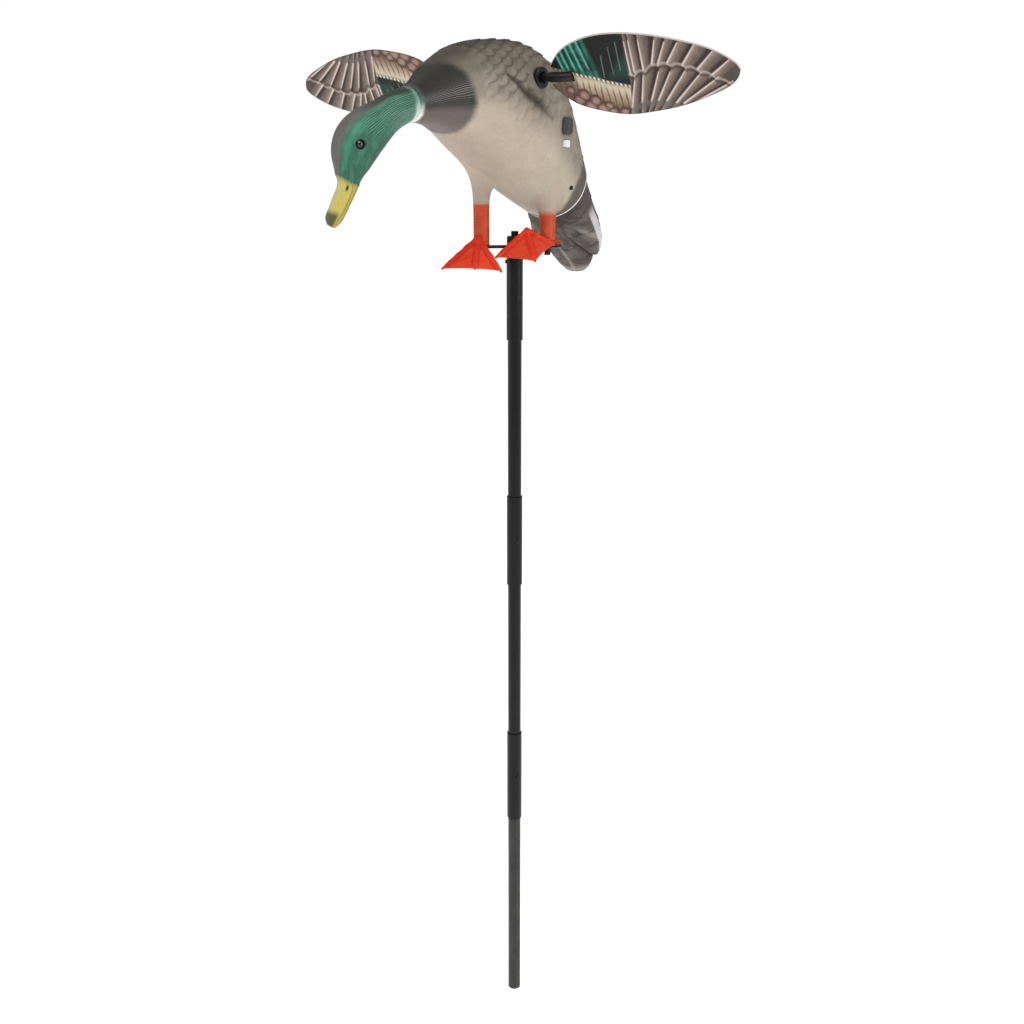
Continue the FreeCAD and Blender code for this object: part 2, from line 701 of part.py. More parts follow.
blade = wing_blade()
post = wing_post()
export(blade, "left_wing")
export(post, "left_wing_post")
export(far_side(blade), "right_wing")
export(far_side(post), "right_wing_post")

# ---------------------------------------------------------------- drive
axle = x_rod(AXLE_R, -AXLE_HALF, AXLE_HALF)
axle = round_edges(axle, 0.5, lambda edge: True)
export(axle, "wing_axle")


def bush(side):
    """Flanged bearing bush seated in the shell's side hole."""
    flange = x_rod(BUSH_FLANGE_R, BUSH_FACE_X - BUSH_FLANGE, BUSH_FACE_X)
    flange = round_edges(flange, 1.0, lambda edge: edge.BoundBox.XMin > BUSH_FACE_X - 0.01)
    spigot = x_rod(BUSH_SPIGOT_R, BUSH_INNER_X, BUSH_FACE_X - BUSH_FLANGE)
    bore = x_rod(AXLE_R + RUNNING_GAP, BUSH_INNER_X, BUSH_FACE_X)
    recess = x_rod(BUSH_RECESS_R, BUSH_FACE_X - BUSH_RECESS, BUSH_FACE_X)
    form = flange.fuse(spigot).removeSplitter().cut([bore, recess])
    if side < 0:
        form = mirror_x(form)
    seated = form.cut(body_shell)
    return max(seated.Solids, key=lambda solid: solid.Volume)


export(bush(1), "left_bearing_bush")
export(bush(-1), "right_bearing_bush")

END_BOSS_R = 6.0
END_BOSS = 3.0
LUG_SIZE = (0.8, 3.0, 6.0)
LUG_SPREAD = 6.0
LUG_Z = AXLE_Z - 14.5
motor = round_edges(x_rod(MOTOR_R, -MOTOR_HALF, MOTOR_HALF), 2.0, lambda edge: True)
motor = motor.fuse(x_rod(END_BOSS_R, -MOTOR_HALF - END_BOSS, MOTOR_HALF + END_BOSS)).removeSplitter()
motor = motor.cut(x_rod(AXLE_R + RUNNING_GAP, -AXLE_HALF, AXLE_HALF))
for side in (-1, 1):
    corner = place(-MOTOR_HALF - LUG_SIZE[0] / 2, AXLE_T + LUG_SIZE[1] / 2 + side * LUG_SPREAD, LUG_Z)
    motor = motor.fuse(Part.makeBox(LUG_SIZE[0], LUG_SIZE[1], LUG_SIZE[2], corner))
export(motor, "drive_motor")

CHASSIS_Z = (1303.0, 1306.0)
EAR = 9.0
EAR_THICKNESS = 4.0
EAR_OUT = 5.0
EAR_SIDES = [(-1, -1), (-1, 1), (1, -1), (1, 1)]
HOUSING_SCREW_R = 1.5


def housing_screw_spot(side_x, side_y):
    axle_side = place(side_x * (HOUSING_HALF - EAR), AXLE_T, AXLE_Z)
    return axle_side + FreeCAD.Vector(0, side_y * (HOUSING_R + EAR_OUT), 0)


def housing_body():
    """Outside form of the motor housing: barrel, two necks and the ears at the split."""
    barrel = x_rod(HOUSING_R, -HOUSING_HALF, HOUSING_HALF)
    form = barrel.fuse(x_rod(HOUSING_NECK_R, -HOUSING_NECK_END, HOUSING_NECK_END))
    for side_x, side_y in EAR_SIDES:
        corner = housing_screw_spot(side_x, side_y) - FreeCAD.Vector(EAR, EAR, EAR_THICKNESS)
        form = form.fuse(Part.makeBox(2 * EAR, 2 * EAR, 2 * EAR_THICKNESS, corner))
    return form.removeSplitter()


hollow = x_rod(MOTOR_R, -MOTOR_HALF - END_BOSS, MOTOR_HALF + END_BOSS)
hollow = hollow.fuse(x_rod(BUSH_SPIGOT_R, -AXLE_HALF, AXLE_HALF)).removeSplitter()
housing = housing_body().cut(hollow)
for side_x, side_y in EAR_SIDES:
    housing = housing.cut(tall_hole(housing_screw_spot(side_x, side_y), HOUSING_SCREW_R))


def half_space(z_low):
    """Block round the motor whose lower face is at the given height."""
    return Part.makeBox(2 * AXLE_HALF, 2 * AXLE_HALF, AXLE_HALF, place(-AXLE_HALF, AXLE_T + AXLE_HALF, z_low))


upper_housing = housing.common(half_space(AXLE_Z + SPLIT_GAP / 2))
lower_housing = housing.common(half_space(AXLE_Z - SPLIT_GAP / 2 - AXLE_HALF))

# the lower half carries the chassis shelf on two posts
POST_SPREAD = 22.0
COLUMN_SIZE = (8.0, 14.0)
PILOT_DEPTH = 12.0
SHELF_SCREW_LENGTH = 11.0
CHASSIS_HALF_X = 33.0
CHASSIS_T = (-34.0, 56.0)
for side in (-1, 1):
    corner = place(side * POST_SPREAD - COLUMN_SIZE[0] / 2, AXLE_T + COLUMN_SIZE[1] / 2, CHASSIS_Z[1])
    column = Part.makeBox(COLUMN_SIZE[0], COLUMN_SIZE[1], AXLE_Z - MOTOR_R - 1.5 - CHASSIS_Z[1], corner)
    column = column.cut(x_rod(HOUSING_R - 0.5, -HOUSING_HALF, HOUSING_HALF))
    lower_housing = lower_housing.fuse(column)
    pilot = Part.makeCylinder(HOUSING_SCREW_R, PILOT_DEPTH, place(side * POST_SPREAD, AXLE_T, CHASSIS_Z[1]))
    lower_housing = lower_housing.cut(pilot)
lower_housing = lower_housing.removeSplitter()
export(upper_housing, "upper_motor_housing")
export(lower_housing, "lower_motor_housing")


def small_screw(top, length, head_r=2.8, head=2.0):
    """Pan head screw hanging down from the top of its head seat."""
    shank = Part.makeCylinder(HOUSING_SCREW_R, length, top - Z_AXIS * length)
    return Part.makeCylinder(head_r, head, top).fuse(shank).removeSplitter()


screws = []
for side_x, side_y in EAR_SIDES:
    top = housing_screw_spot(side_x, side_y) + Z_AXIS * EAR_THICKNESS
    screws.append(small_screw(top, 2 * EAR_THICKNESS))
export(Part.makeCompound(screws), "housing_screws")

shelf = Part.makeBox(2 * CHASSIS_HALF_X, CHASSIS_T[1] - CHASSIS_T[0], CHASSIS_Z[1] - CHASSIS_Z[0],
                     place(-CHASSIS_HALF_X, CHASSIS_T[1], CHASSIS_Z[0]))
shelf = round_edges(shelf, 8.0, lambda edge: abs(edge.tangentAt(edge.FirstParameter).z) > 0.99)
shelf_screws = []
for side in (-1, 1):
    seat = place(side * POST_SPREAD, AXLE_T, CHASSIS_Z[0])
    shelf = shelf.cut(tall_hole(seat, HOUSING_SCREW_R + SCREW_GAP))
    screw = small_screw(seat, SHELF_SCREW_LENGTH)
    screw.rotate(seat, X_AXIS, 180)
    shelf_screws.append(screw)
export(Part.makeCompound(shelf_screws), "shelf_screws")

# battery pack on the shelf, strapped down
BATTERY = (58.0, 37.0, 19.0)
BATTERY_T = 0.0
battery = Part.makeBox(BATTERY[0], BATTERY[1], BATTERY[2],
                       place(-BATTERY[0] / 2, BATTERY_T + BATTERY[1] / 2, CHASSIS_Z[1]))
battery = round_edges(battery, 3.0, lambda edge: True)
export(battery, "battery_pack")
STRAP_WIDTH = 16.0
STRAP = 1.4
STRAP_GAP = 0.2


def strap_block(grown):
    """Block over the battery's middle, larger than it by the given amount all round."""
    depth = BATTERY[1] + 2 * grown
    corner = place(-STRAP_WIDTH / 2, BATTERY_T + depth / 2, CHASSIS_Z[1])
    return Part.makeBox(STRAP_WIDTH, depth, BATTERY[2] + grown, corner)


export(strap_block(STRAP_GAP + STRAP).cut(strap_block(STRAP_GAP)), "battery_strap")
export(shelf, "chassis_shelf")

# ---------------------------------------------------------------- controls on the left flank
BUTTON_PROUD = 2.2
BUTTON_STEM_R = 4.0
BUTTON_BACK = -5.5
BUTTON_STEM_BACK = -8.5
PORT_PROUD = 0.8
PORT_BACK = -3.6
CASE_WALL = 2.0
CASE_DEPTH = (-25.0, -11.0)
BOARD_DEPTH = (-17.0, -15.4)
SWITCH_TOP = -11.0
SWITCH_SIZE = 12.0
CHIP_SIZE = 7.0
CHIP_TOP = -14.0
CHIP_ASIDE = 11.0
SOCKET_SIZE = (11.0, 6.0)
SOCKET_BORE = (8.4, 3.4)
SOCKET_TOP = -4.6
SOCKET_FLOOR = -11.0
SOCKET_CORNER = 1.2

button = panel_block(panel_centre, BUTTON_SIZE[0], BUTTON_SIZE[1], BUTTON_BACK, BUTTON_PROUD, BUTTON_CORNER)
button_top = BUTTON_PROUD - 0.1
button = round_edges(button, 1.6, lambda edge: (edge.CenterOfMass - panel_centre).dot(panel_out) > button_top)
stem_start = panel_centre + panel_out * BUTTON_STEM_BACK
button_stem = rod(stem_start, panel_centre + panel_out * BUTTON_BACK, BUTTON_STEM_R)
export(button.fuse(button_stem).removeSplitter(), "power_button")

case_centre = (panel_centre + port_centre) * 0.5
case_size = (BUTTON_SIZE[0] + 8.0, BUTTON_SIZE[1] + PORT_DROP + 5.0)


def in_case(gap, depth_low, depth_high, corner=0.0):
    """Block filling the control case, less a gap all round."""
    length = case_size[0] - 2 * gap
    height = case_size[1] - 2 * gap
    return panel_block(case_centre, length, height, depth_low, depth_high, corner)


case = in_case(0.0, CASE_DEPTH[0], CASE_DEPTH[1], 3.0)
case = case.cut(in_case(CASE_WALL, CASE_DEPTH[0] + CASE_WALL, CASE_DEPTH[1] + 1.0, 1.2))
export(case, "control_case")

board = in_case(CASE_WALL + 0.5, BOARD_DEPTH[0], BOARD_DEPTH[1])
switch_block = panel_block(panel_centre, SWITCH_SIZE, SWITCH_SIZE, BOARD_DEPTH[1], SWITCH_TOP)
chip_centre = port_centre - panel_along * CHIP_ASIDE
chip = panel_block(chip_centre, CHIP_SIZE, CHIP_SIZE, BOARD_DEPTH[1], CHIP_TOP)
export(board.fuse([switch_block, chip]).removeSplitter(), "control_board")

socket = panel_block(port_centre, SOCKET_SIZE[0], SOCKET_SIZE[1], BOARD_DEPTH[1], SOCKET_TOP, SOCKET_CORNER)
socket_bore = panel_block(port_centre, SOCKET_BORE[0], SOCKET_BORE[1], SOCKET_FLOOR, 0.0, SOCKET_CORNER)
export(socket.cut(socket_bore), "charge_socket")
cover = panel_block(port_centre, PORT_SIZE[0], PORT_SIZE[1], PORT_BACK, PORT_PROUD, PORT_CORNER)
export(cover, "port_cover")
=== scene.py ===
import bmesh
import bpy
import json
import math
import numpy as np
from mathutils import Matrix, Vector
from mathutils.bvhtree import BVHTree


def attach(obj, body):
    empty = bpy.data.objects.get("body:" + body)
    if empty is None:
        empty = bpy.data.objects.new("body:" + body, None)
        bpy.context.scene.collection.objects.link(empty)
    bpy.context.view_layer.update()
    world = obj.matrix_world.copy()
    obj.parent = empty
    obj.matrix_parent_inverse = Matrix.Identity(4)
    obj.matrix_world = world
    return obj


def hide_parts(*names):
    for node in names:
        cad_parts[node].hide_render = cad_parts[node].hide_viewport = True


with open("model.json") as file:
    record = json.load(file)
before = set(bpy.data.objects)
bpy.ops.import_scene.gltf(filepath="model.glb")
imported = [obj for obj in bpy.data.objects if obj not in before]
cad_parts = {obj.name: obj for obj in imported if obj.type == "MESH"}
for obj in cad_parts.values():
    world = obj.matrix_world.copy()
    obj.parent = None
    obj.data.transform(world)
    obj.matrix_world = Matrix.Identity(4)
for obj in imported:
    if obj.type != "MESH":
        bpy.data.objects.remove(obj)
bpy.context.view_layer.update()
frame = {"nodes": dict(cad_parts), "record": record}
MM = 0.001
PAINT_DEPTH = 1.16  # power that deepens the paint, because the studio light lifts dark tones
DOME_TURN = 1.57

# The pieces are worked out in millimetres as (left, ahead, height): left is +X and
# ahead is -Y of the row frame.  to_row() turns such points into metres of the frame.


# ---------------------------------------------------------------- numbers
def colour(red, green, blue):
    """Linear colour of a paint given as 0 to 255 values."""
    value = np.array([red, green, blue], float) / 255
    return np.where(value <= 0.04045, value / 12.92, ((value + 0.055) / 1.055) ** 2.4)


def to_row(points):
    return np.stack([points[..., 0], -points[..., 1], points[..., 2]], -1) * MM


def smooth(x, start, end):
    t = np.clip((x - start) / (end - start), 0, 1)
    return t * t * (3 - 2 * t)


def hill(x, centre, width):
    return np.exp(-(((x - centre) / width) ** 2))


def mix(first, second, share):
    return first * (1 - share[..., None]) + second * share[..., None]


def coats(base, *layers):
    """Paint laid over a base, each layer a 0 to 255 colour and the share of it that covers."""
    paint = colour(*base) if isinstance(base, tuple) else base
    for tint, share in layers:
        paint = mix(paint, colour(*tint), share)
    return paint


def gained(paint, gain):
    return paint * gain[..., None]


def lattice(i, j, seed):
    """Fixed random value from 0 to 1 of each whole-number cell."""
    i = i.astype(np.int64)
    j = j.astype(np.int64)
    n = (i * 374761393 + j * 668265263 + seed * 974634777) & 0xFFFFFFFF
    n = ((n ^ (n >> 13)) * 1274126177) & 0xFFFFFFFF
    return ((n ^ (n >> 16)) & 0xFFFF) / 65535.0


def noise(x, y, seed):
    """Smooth noise from -1 to 1 with a cell size of 1."""
    i = np.floor(x)
    j = np.floor(y)
    u = smooth(x - i, 0, 1)
    v = smooth(y - j, 0, 1)
    low = lattice(i, j, seed) * (1 - u) + lattice(i + 1, j, seed) * u
    high = lattice(i, j + 1, seed) * (1 - u) + lattice(i + 1, j + 1, seed) * u
    return 2 * (low * (1 - v) + high * v) - 1


def cloud(x, y, seed):
    """Noise of three scales together, from -1 to 1."""
    octaves = noise(x, y, seed) + 0.5 * noise(2 * x, 2 * y, seed + 1) + 0.25 * noise(4 * x, 4 * y, seed + 2)
    return octaves / 1.75


def stroke(x, y, path, width):
    """Brush mark along a path, 1 on its line; width is one number or one for each point."""
    best = np.zeros(np.shape(x))
    widths = np.broadcast_to(width, len(path))
    for i in range(len(path) - 1):
        ax, ay = path[i]
        bx, by = path[i + 1]
        length2 = (bx - ax) ** 2 + (by - ay) ** 2
        t = np.clip(((x - ax) * (bx - ax) + (y - ay) * (by - ay)) / length2, 0, 1)
        reach = np.hypot(x - ax - t * (bx - ax), y - ay - t * (by - ay))
        best = np.maximum(best, np.exp(-((reach / (widths[i] * (1 - t) + widths[i + 1] * t)) ** 2)))
    return best


def natural_curve(marks, values):
    """Smooth curve through the values at the marks, straight at its two ends."""
    marks = np.asarray(marks, float)
    values = np.asarray(values, float)
    count = len(marks)
    gaps = np.diff(marks)
    system = np.zeros((count, count))
    right = np.zeros((count, values.shape[1]))
    system[0, 0] = system[-1, -1] = 1
    for i in range(1, count - 1):
        system[i, i - 1:i + 2] = gaps[i - 1], 2 * (gaps[i - 1] + gaps[i]), gaps[i]
    right[1:-1] = 6 * np.diff(np.diff(values, axis=0) / gaps[:, None], axis=0)
    bend = np.linalg.solve(system, right)

    def curve(x):
        x = np.clip(np.atleast_1d(x), marks[0], marks[-1])
        i = np.clip(np.searchsorted(marks, x) - 1, 0, count - 2)
        a = (marks[i + 1] - x)[:, None]
        b = (x - marks[i])[:, None]
        gap = gaps[i][:, None]
        cubic = (bend[i] * a ** 3 + bend[i + 1] * b ** 3) / (6 * gap)
        before, after = (values[k] / gap - bend[k] * gap / 6 for k in (i, i + 1))
        return cubic + before * a + after * b

    return curve


def section_curve(rows):
    """Curve of (low ahead, low height, high ahead, high height, half width) along the sections."""
    steps = [max(1.0, (math.dist(before[0], after[0]) + math.dist(before[1], after[1])) / 2)
             for before, after in zip(rows, rows[1:])]
    marks = np.cumsum([0.0] + steps)
    return marks[-1], natural_curve(marks, [[*low, *high, half_width] for low, high, half_width in rows])


def section_angles(count):
    return np.linspace(-math.pi / 2, 1.5 * math.pi, count, endpoint=False)


def section_grid(curve, along, angles, squareness, inset=0.0):
    """Points (side, reach, height) of each section at each angle, counted from its left side upward."""
    rows = curve(along)
    low = rows[:, 0:2]
    high = rows[:, 2:4]
    centre = (low + high) / 2
    half = np.linalg.norm(high - low, axis=1) / 2
    up = (high - low) / (2 * half)[:, None]
    across, upward = (np.sign(x) * np.abs(x) ** (2 / squareness) for x in (np.cos(angles), np.sin(angles)))
    side = across * (rows[:, 4] - inset)[:, None]
    rise = upward * (half - inset)[:, None]
    reach, height = (centre[:, k, None] + up[:, k, None] * rise for k in (0, 1))
    return np.stack([side, reach, height], -1)


def section_field(along, angles):
    """Distance along, turn, and height angle in degrees, of every point of a section grid."""
    run, turn = np.meshgrid(along, angles, indexing="ij")
    return run, turn, np.degrees(np.arcsin(np.clip(np.sin(turn), -1, 1)))


def grid_normals(points):
    """Outward normals of a grid that closes on itself along its second direction."""
    along = np.gradient(points, axis=0)
    around = np.roll(points, -1, 1) - np.roll(points, 1, 1)
    normal = np.cross(along, around)
    return normal / np.maximum(np.linalg.norm(normal, axis=-1), 1e-9)[..., None]


def grid_faces(rows, columns, closed):
    """Four-sided faces between the points of a grid."""
    i, j = np.meshgrid(np.arange(rows - 1), np.arange(columns if closed else columns - 1), indexing="ij")
    i = i.ravel() * columns
    j = j.ravel()
    next_j = (j + 1) % columns
    return np.stack([i + j, i + next_j, i + columns + next_j, i + columns + j], 1)


def dome(edge, shares, push=(0, 0, 0)):
    """Rings that close a row of points toward its middle, pushed out as they go."""
    middle = edge.mean(1, keepdims=True)
    return np.concatenate([edge + (middle - edge) * s + np.array(push) * math.sin(s * DOME_TURN)
                           for s in shares], 0)


# ---------------------------------------------------------------- meshes
class Sheet:
    """Points, faces and paint of one piece, gathered from several grids."""

    def __init__(self):
        self.points = []
        self.faces = []
        self.paint = []
        self.count = 0

    def add_grid(self, points, paint, closed=False, keep=None, flip=False):
        faces = grid_faces(*points.shape[:2], closed)
        if keep is not None:
            faces = faces[keep.ravel()[faces].any(1)]
        if flip:
            faces = faces[:, ::-1]
        points = points.reshape(-1, 3)
        self.points.append(points)
        self.paint.append(np.broadcast_to(paint.reshape(-1, 3), points.shape))
        self.faces.append(faces + self.count)
        self.count += len(points)

    def build(self, name, body, slot, replaced):
        points = to_row(np.concatenate(self.points))
        faces = np.concatenate(self.faces)
        used = np.unique(faces)
        index = np.full(len(points), -1)
        index[used] = np.arange(len(used))
        mesh = make_mesh(name, points[used], index[faces])
        set_paint(mesh, np.concatenate(self.paint)[used])
        settle(mesh, name, body, slot, replaced)


def make_mesh(name, points, faces):
    mesh = bpy.data.meshes.new(name)
    mesh.vertices.add(len(points))
    mesh.vertices.foreach_set("co", points.astype(np.float32).ravel())
    mesh.loops.add(faces.size)
    mesh.loops.foreach_set("vertex_index", faces.astype(np.int32).ravel())
    mesh.polygons.add(len(faces))
    mesh.polygons.foreach_set("loop_start", (np.arange(len(faces)) * faces.shape[1]).astype(np.int32))
    mesh.polygons.foreach_set("use_smooth", np.ones(len(faces), bool))
    mesh.update(calc_edges=True)
    mesh.validate()
    return mesh


def set_paint(mesh, paint):
    layer = mesh.attributes.new("paint", "FLOAT_COLOR", "POINT")
    data = np.ones((len(mesh.vertices), 4), np.float32)
    data[:, :3] = np.clip(paint, 0, 1) ** PAINT_DEPTH
    layer.data.foreach_set("color", data.ravel())


def settle(mesh, name, body, slot, replaced):
    piece = bpy.data.objects.new(name, mesh)
    bpy.context.scene.collection.objects.link(piece)
    mesh.materials.append(FINISHES[slot])
    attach(piece, body)
    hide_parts(*replaced)


# ---------------------------------------------------------------- materials
class Nodes:
    """Short way to lay out one node material."""

    def __init__(self, name):
        self.material = bpy.data.materials.new(name)
        self.material.use_nodes = True
        self.tree = self.material.node_tree
        self.shader = self.tree.nodes["Principled BSDF"]
        self.place = self.tree.nodes.new("ShaderNodeTexCoord").outputs["Object"]

    def node(self, kind, inputs, output=0, **settings):
        """Output of a new node, whose inputs are plain values or other nodes' outputs."""
        made = self.tree.nodes.new(kind)
        for key, value in settings.items():
            setattr(made, key, value)
        for key, value in inputs.items():
            if isinstance(value, bpy.types.NodeSocket):
                self.tree.links.new(value, made.inputs[key])
            else:
                made.inputs[key].default_value = value
        return made.outputs[output]

    def link(self, output, socket):
        self.tree.links.new(output, self.shader.inputs[socket])

    def set(self, **values):
        for key, value in values.items():
            self.shader.inputs[key.replace("_", " ")].default_value = value

    def noise(self, scale, detail=3.0, rough=0.5, stretch=None):
        place = self.place
        if stretch:
            place = self.node("ShaderNodeMapping", {"Vector": place, "Scale": stretch}, "Vector")
        inputs = {"Vector": place, "Scale": scale, "Detail": detail, "Roughness": rough}
        return self.node("ShaderNodeTexNoise", inputs, "Fac")

    def ramp(self, value, low, high, from_low=0.3, from_high=0.7):
        inputs = {"Value": value, "From Min": from_low, "From Max": from_high, "To Min": low, "To Max": high}
        return self.node("ShaderNodeMapRange", inputs, "Result")

    def times(self, first, second):
        return self.node("ShaderNodeMath", {0: first, 1: second}, operation="MULTIPLY")

    def shaded(self, tone, gain):
        return self.node("ShaderNodeVectorMath", {0: tone, "Scale": gain}, operation="SCALE")

    def blend(self, share, first, second):
        # inputs 6 and 7 and output 2 are the mix node's colours
        return self.node("ShaderNodeMix", {0: share, 6: (*first, 1), 7: (*second, 1)}, 2, data_type="RGBA")

    def bump(self, height, strength, distance, before=None):
        inputs = {"Height": height, "Strength": strength, "Distance": distance}
        if before:
            inputs["Normal"] = before
        return self.node("ShaderNodeBump", inputs, "Normal")


def painted(name, rough, variation, grain, depth, specular):
    """Airbrushed or printed vinyl: the paint attribute with overspray, mottling and a moulded grain."""
    n = Nodes(name)
    paint = n.node("ShaderNodeAttribute", {}, "Color", attribute_name="paint")
    spray = n.ramp(n.noise(grain * 0.55, 4.0, 0.65), 1 - variation, 1 + variation)
    cloudy = n.ramp(n.noise(38.0, 4.0), 1 - variation * 0.6, 1 + variation * 0.6)
    n.link(n.shaded(paint, n.times(spray, cloudy)), "Base Color")
    n.link(n.ramp(n.noise(120.0, 3.0), rough - 0.07, rough + 0.07), "Roughness")
    coarse = n.bump(n.noise(grain * 0.25, 2.0), 0.25, depth * 2)
    n.link(n.bump(n.noise(grain, 3.0, 0.6), 0.5, depth, coarse), "Normal")
    n.set(Specular_IOR_Level=specular)
    return n.material


def moulded(name, base, rough, grain, depth, variation, metallic=0.0, coat=0.0, second=None, specular=0.4):
    """Plain moulded, rubber or coated surface with grain and handling marks."""
    n = Nodes(name)
    first = colour(*base)
    other = colour(*second) if second else first * (1 + 2.2 * variation)
    patches = n.ramp(n.noise(60.0, 5.0, 0.6), 0.0, 1.0)
    n.link(n.blend(patches, first * (1 - variation), other), "Base Color")
    marks = n.noise(210.0, 5.0, 0.7, (1, 1, 0.15))
    n.link(n.ramp(marks, rough - 0.09, rough + 0.12), "Roughness")
    n.link(n.bump(n.noise(grain, 3.0, 0.6), 0.6, depth), "Normal")
    n.set(Metallic=metallic, Coat_Weight=coat, Specular_IOR_Level=specular)
    return n.material


def brushed(name, base, rough=0.32):
    """Turned or ground metal with fine lines round it."""
    n = Nodes(name)
    lines = n.noise(2400.0, 2.0, 0.5, (0.05, 1, 1))
    tone = n.node("ShaderNodeCombineColor", dict(enumerate(colour(*base).tolist())))
    n.link(n.shaded(tone, n.ramp(lines, 0.8, 1.1)), "Base Color")
    n.link(n.ramp(n.noise(90.0, 4.0), rough - 0.08, rough + 0.1), "Roughness")
    n.link(n.bump(lines, 0.3, 0.00003), "Normal")
    n.set(Metallic=1.0)
    return n.material


def webbing(name):
    """Woven strap: crossed ribs dark on dark."""
    n = Nodes(name)
    inputs = {"Vector": n.place, "Scale": 420.0, "Distortion": 0.6}
    weave = n.times(*(n.node("ShaderNodeTexWave", inputs, "Fac", bands_direction=way) for way in ("X", "Y")))
    n.link(n.blend(weave, (0.008, 0.008, 0.009), (0.05, 0.05, 0.052)), "Base Color")
    n.link(n.bump(weave, 0.8, 0.0003), "Normal")
    n.set(Roughness=0.85, Sheen_Weight=0.3)
    return n.material


# finish of each material slot of the record
FINISHES = {
    "body_vinyl": painted("airbrushed_body_vinyl", 0.6, 0.07, 800.0, 0.00014, 0.16),
    "green_vinyl": painted("airbrushed_head_vinyl", 0.48, 0.06, 1000.0, 0.0001, 0.22),
    "tail_vinyl": painted("airbrushed_tail_vinyl", 0.6, 0.1, 900.0, 0.00012, 0.15),
    "orange_vinyl": painted("bright_foot_vinyl", 0.5, 0.06, 1100.0, 0.0001, 0.18),
    "wing_print": painted("printed_wing_plastic", 0.42, 0.07, 1500.0, 0.00005, 0.18),
    "stake_steel": moulded("powder_coated_stake", (3, 3, 3), 0.3, 2600.0, 0.00006, 0.2, second=(7, 7, 7),
                           specular=0.22),
    "dark_steel": moulded("blackened_screw", (26, 25, 24), 0.36, 1800.0, 0.00004, 0.2, 0.6),
    "black_plastic": moulded("moulded_black_plastic", (4, 4, 4), 0.34, 1700.0, 0.00005, 0.15),
    "boot_rubber": moulded("slate_button_rubber", (44, 44, 44), 0.6, 1500.0, 0.00008, 0.14,
                           second=(66, 64, 63), specular=0.2),
    "plug_rubber": moulded("pale_plug_rubber", (196, 190, 197), 0.55, 1500.0, 0.00006, 0.05,
                           second=(216, 212, 220)),
    "eye_gloss": moulded("gloss_eye", (3, 3, 3), 0.1, 900.0, 0.00001, 0.1, coat=0.6),
    "axle_steel": brushed("ground_axle_steel", (170, 170, 168)),
    "motor_can": brushed("plated_motor_can", (160, 161, 165), 0.38),
    "socket_metal": brushed("stamped_socket_metal", (150, 150, 152), 0.4),
    "battery_wrap": moulded("battery_wrap_film", (30, 70, 128), 0.22, 700.0, 0.00005, 0.1, coat=0.4),
    "board_green": moulded("circuit_board_mask", (22, 92, 52), 0.35, 1200.0, 0.00004, 0.12),
    "strap_web": webbing("woven_strap"),
}
# greyer, rougher coat for the lowest stake tube
LOWER_STAKE_GREY = moulded("greyer_lower_stake_coating", (34, 34, 32), 0.42, 2600.0, 0.00006, 0.2, second=(48, 48, 45),
                     specular=0.3)

# ---------------------------------------------------------------- body
RIM_SLOPE = math.radians(28)
RIM_CENTRE = (-89.6, 1234.6)
RIM_HALF_HEIGHT = 46.0
RIM_HALF_WIDTH = 51.5
SHELL_WALL = 2.6
AXLE = (40.7, 1366.6)
BODY_SQUARE = 2.15
FALL = math.radians(52)  # how far the feather rows lean from straight back to straight down
FLOW = 5.5
LEGS = {"right": (-28.0, 36.0), "left": (28.0, -36.0)}
LEG_R = 10.6
ANKLE_Z = 1166.5
PANEL_CENTRE = np.array([66.89, -24.0, 1312.0])
PANEL_OUT = np.array([0.9793150592, -0.2013966108, -0.0195299754])
PANEL_ALONG = np.array([-0.2014, -0.9795, 0.0])
PANEL_UP = np.array([0.0191, -0.0039, 0.9998])
PANEL_DEPTH = 25  # points further in than this lie on the other flank
NO_HOLE = 90.0
# length, height, corner radius and rise of each hole of the panel
BUTTON_HOLE = (30.8, 20.8, 6.4, 0.0)
PORT_HOLE = (17.8, 9.8, 2.9, -22.0)


def rim_point(up):
    return (RIM_CENTRE[0] - up * math.sin(RIM_SLOPE), RIM_CENTRE[1] + up * math.cos(RIM_SLOPE))


# belly point, back point (ahead, height) and half width of each section, rim to neck
BODY_ROWS = [
    (rim_point(-RIM_HALF_HEIGHT), rim_point(RIM_HALF_HEIGHT), RIM_HALF_WIDTH),
    ((-38, 1206), (-96, 1308), 56),
    ((-5, 1220), (-76, 1349), 62),
    ((30, 1238), (-40, 1390), 70),
    ((62, 1254), (8, 1412), 73.5),
    ((90, 1272), (60, 1413), 73),
    ((119, 1290), (110, 1404), 63),
    ((152, 1304), (154, 1384), 47),
    ((182, 1310), (185, 1363), 31),
    ((206, 1311), (209, 1351), 21),
]
BODY_LENGTH, BODY_CURVE = section_curve(BODY_ROWS)
BODY_ANGLES = section_angles(430)
GROOVE = [(236, 18), (210, 4), (185, 0.5), (156, -2), (142, -3)]


def feather_relief(u, v, length, width):
    """Height from 0 to 1 of overlapping rounded feathers whose free ends point to lower u."""
    radius = 0.72 * width
    top = np.zeros(u.shape)
    found = np.zeros(u.shape, bool)
    first = np.floor(u / length) + 2
    for step in range(5):
        row = first - step
        shift = 0.5 * (row % 2)
        column = np.round(v / width - shift)
        sway = 1.2 * (lattice(row, column, 5) - 0.5)
        du = (u - row * length - sway) / 1.15
        dv = v - (column + shift) * width
        reach = np.hypot(du, dv)
        inside = (reach < radius) & (du < 0.35 * radius) & ~found
        top = np.where(inside, (reach / radius) ** 2.2, top)
        found |= inside
    return top


def panel_place(points):
    """Distance along, up and out of the button panel."""
    offset = points - PANEL_CENTRE
    return offset @ PANEL_ALONG, offset @ PANEL_UP, offset @ PANEL_OUT


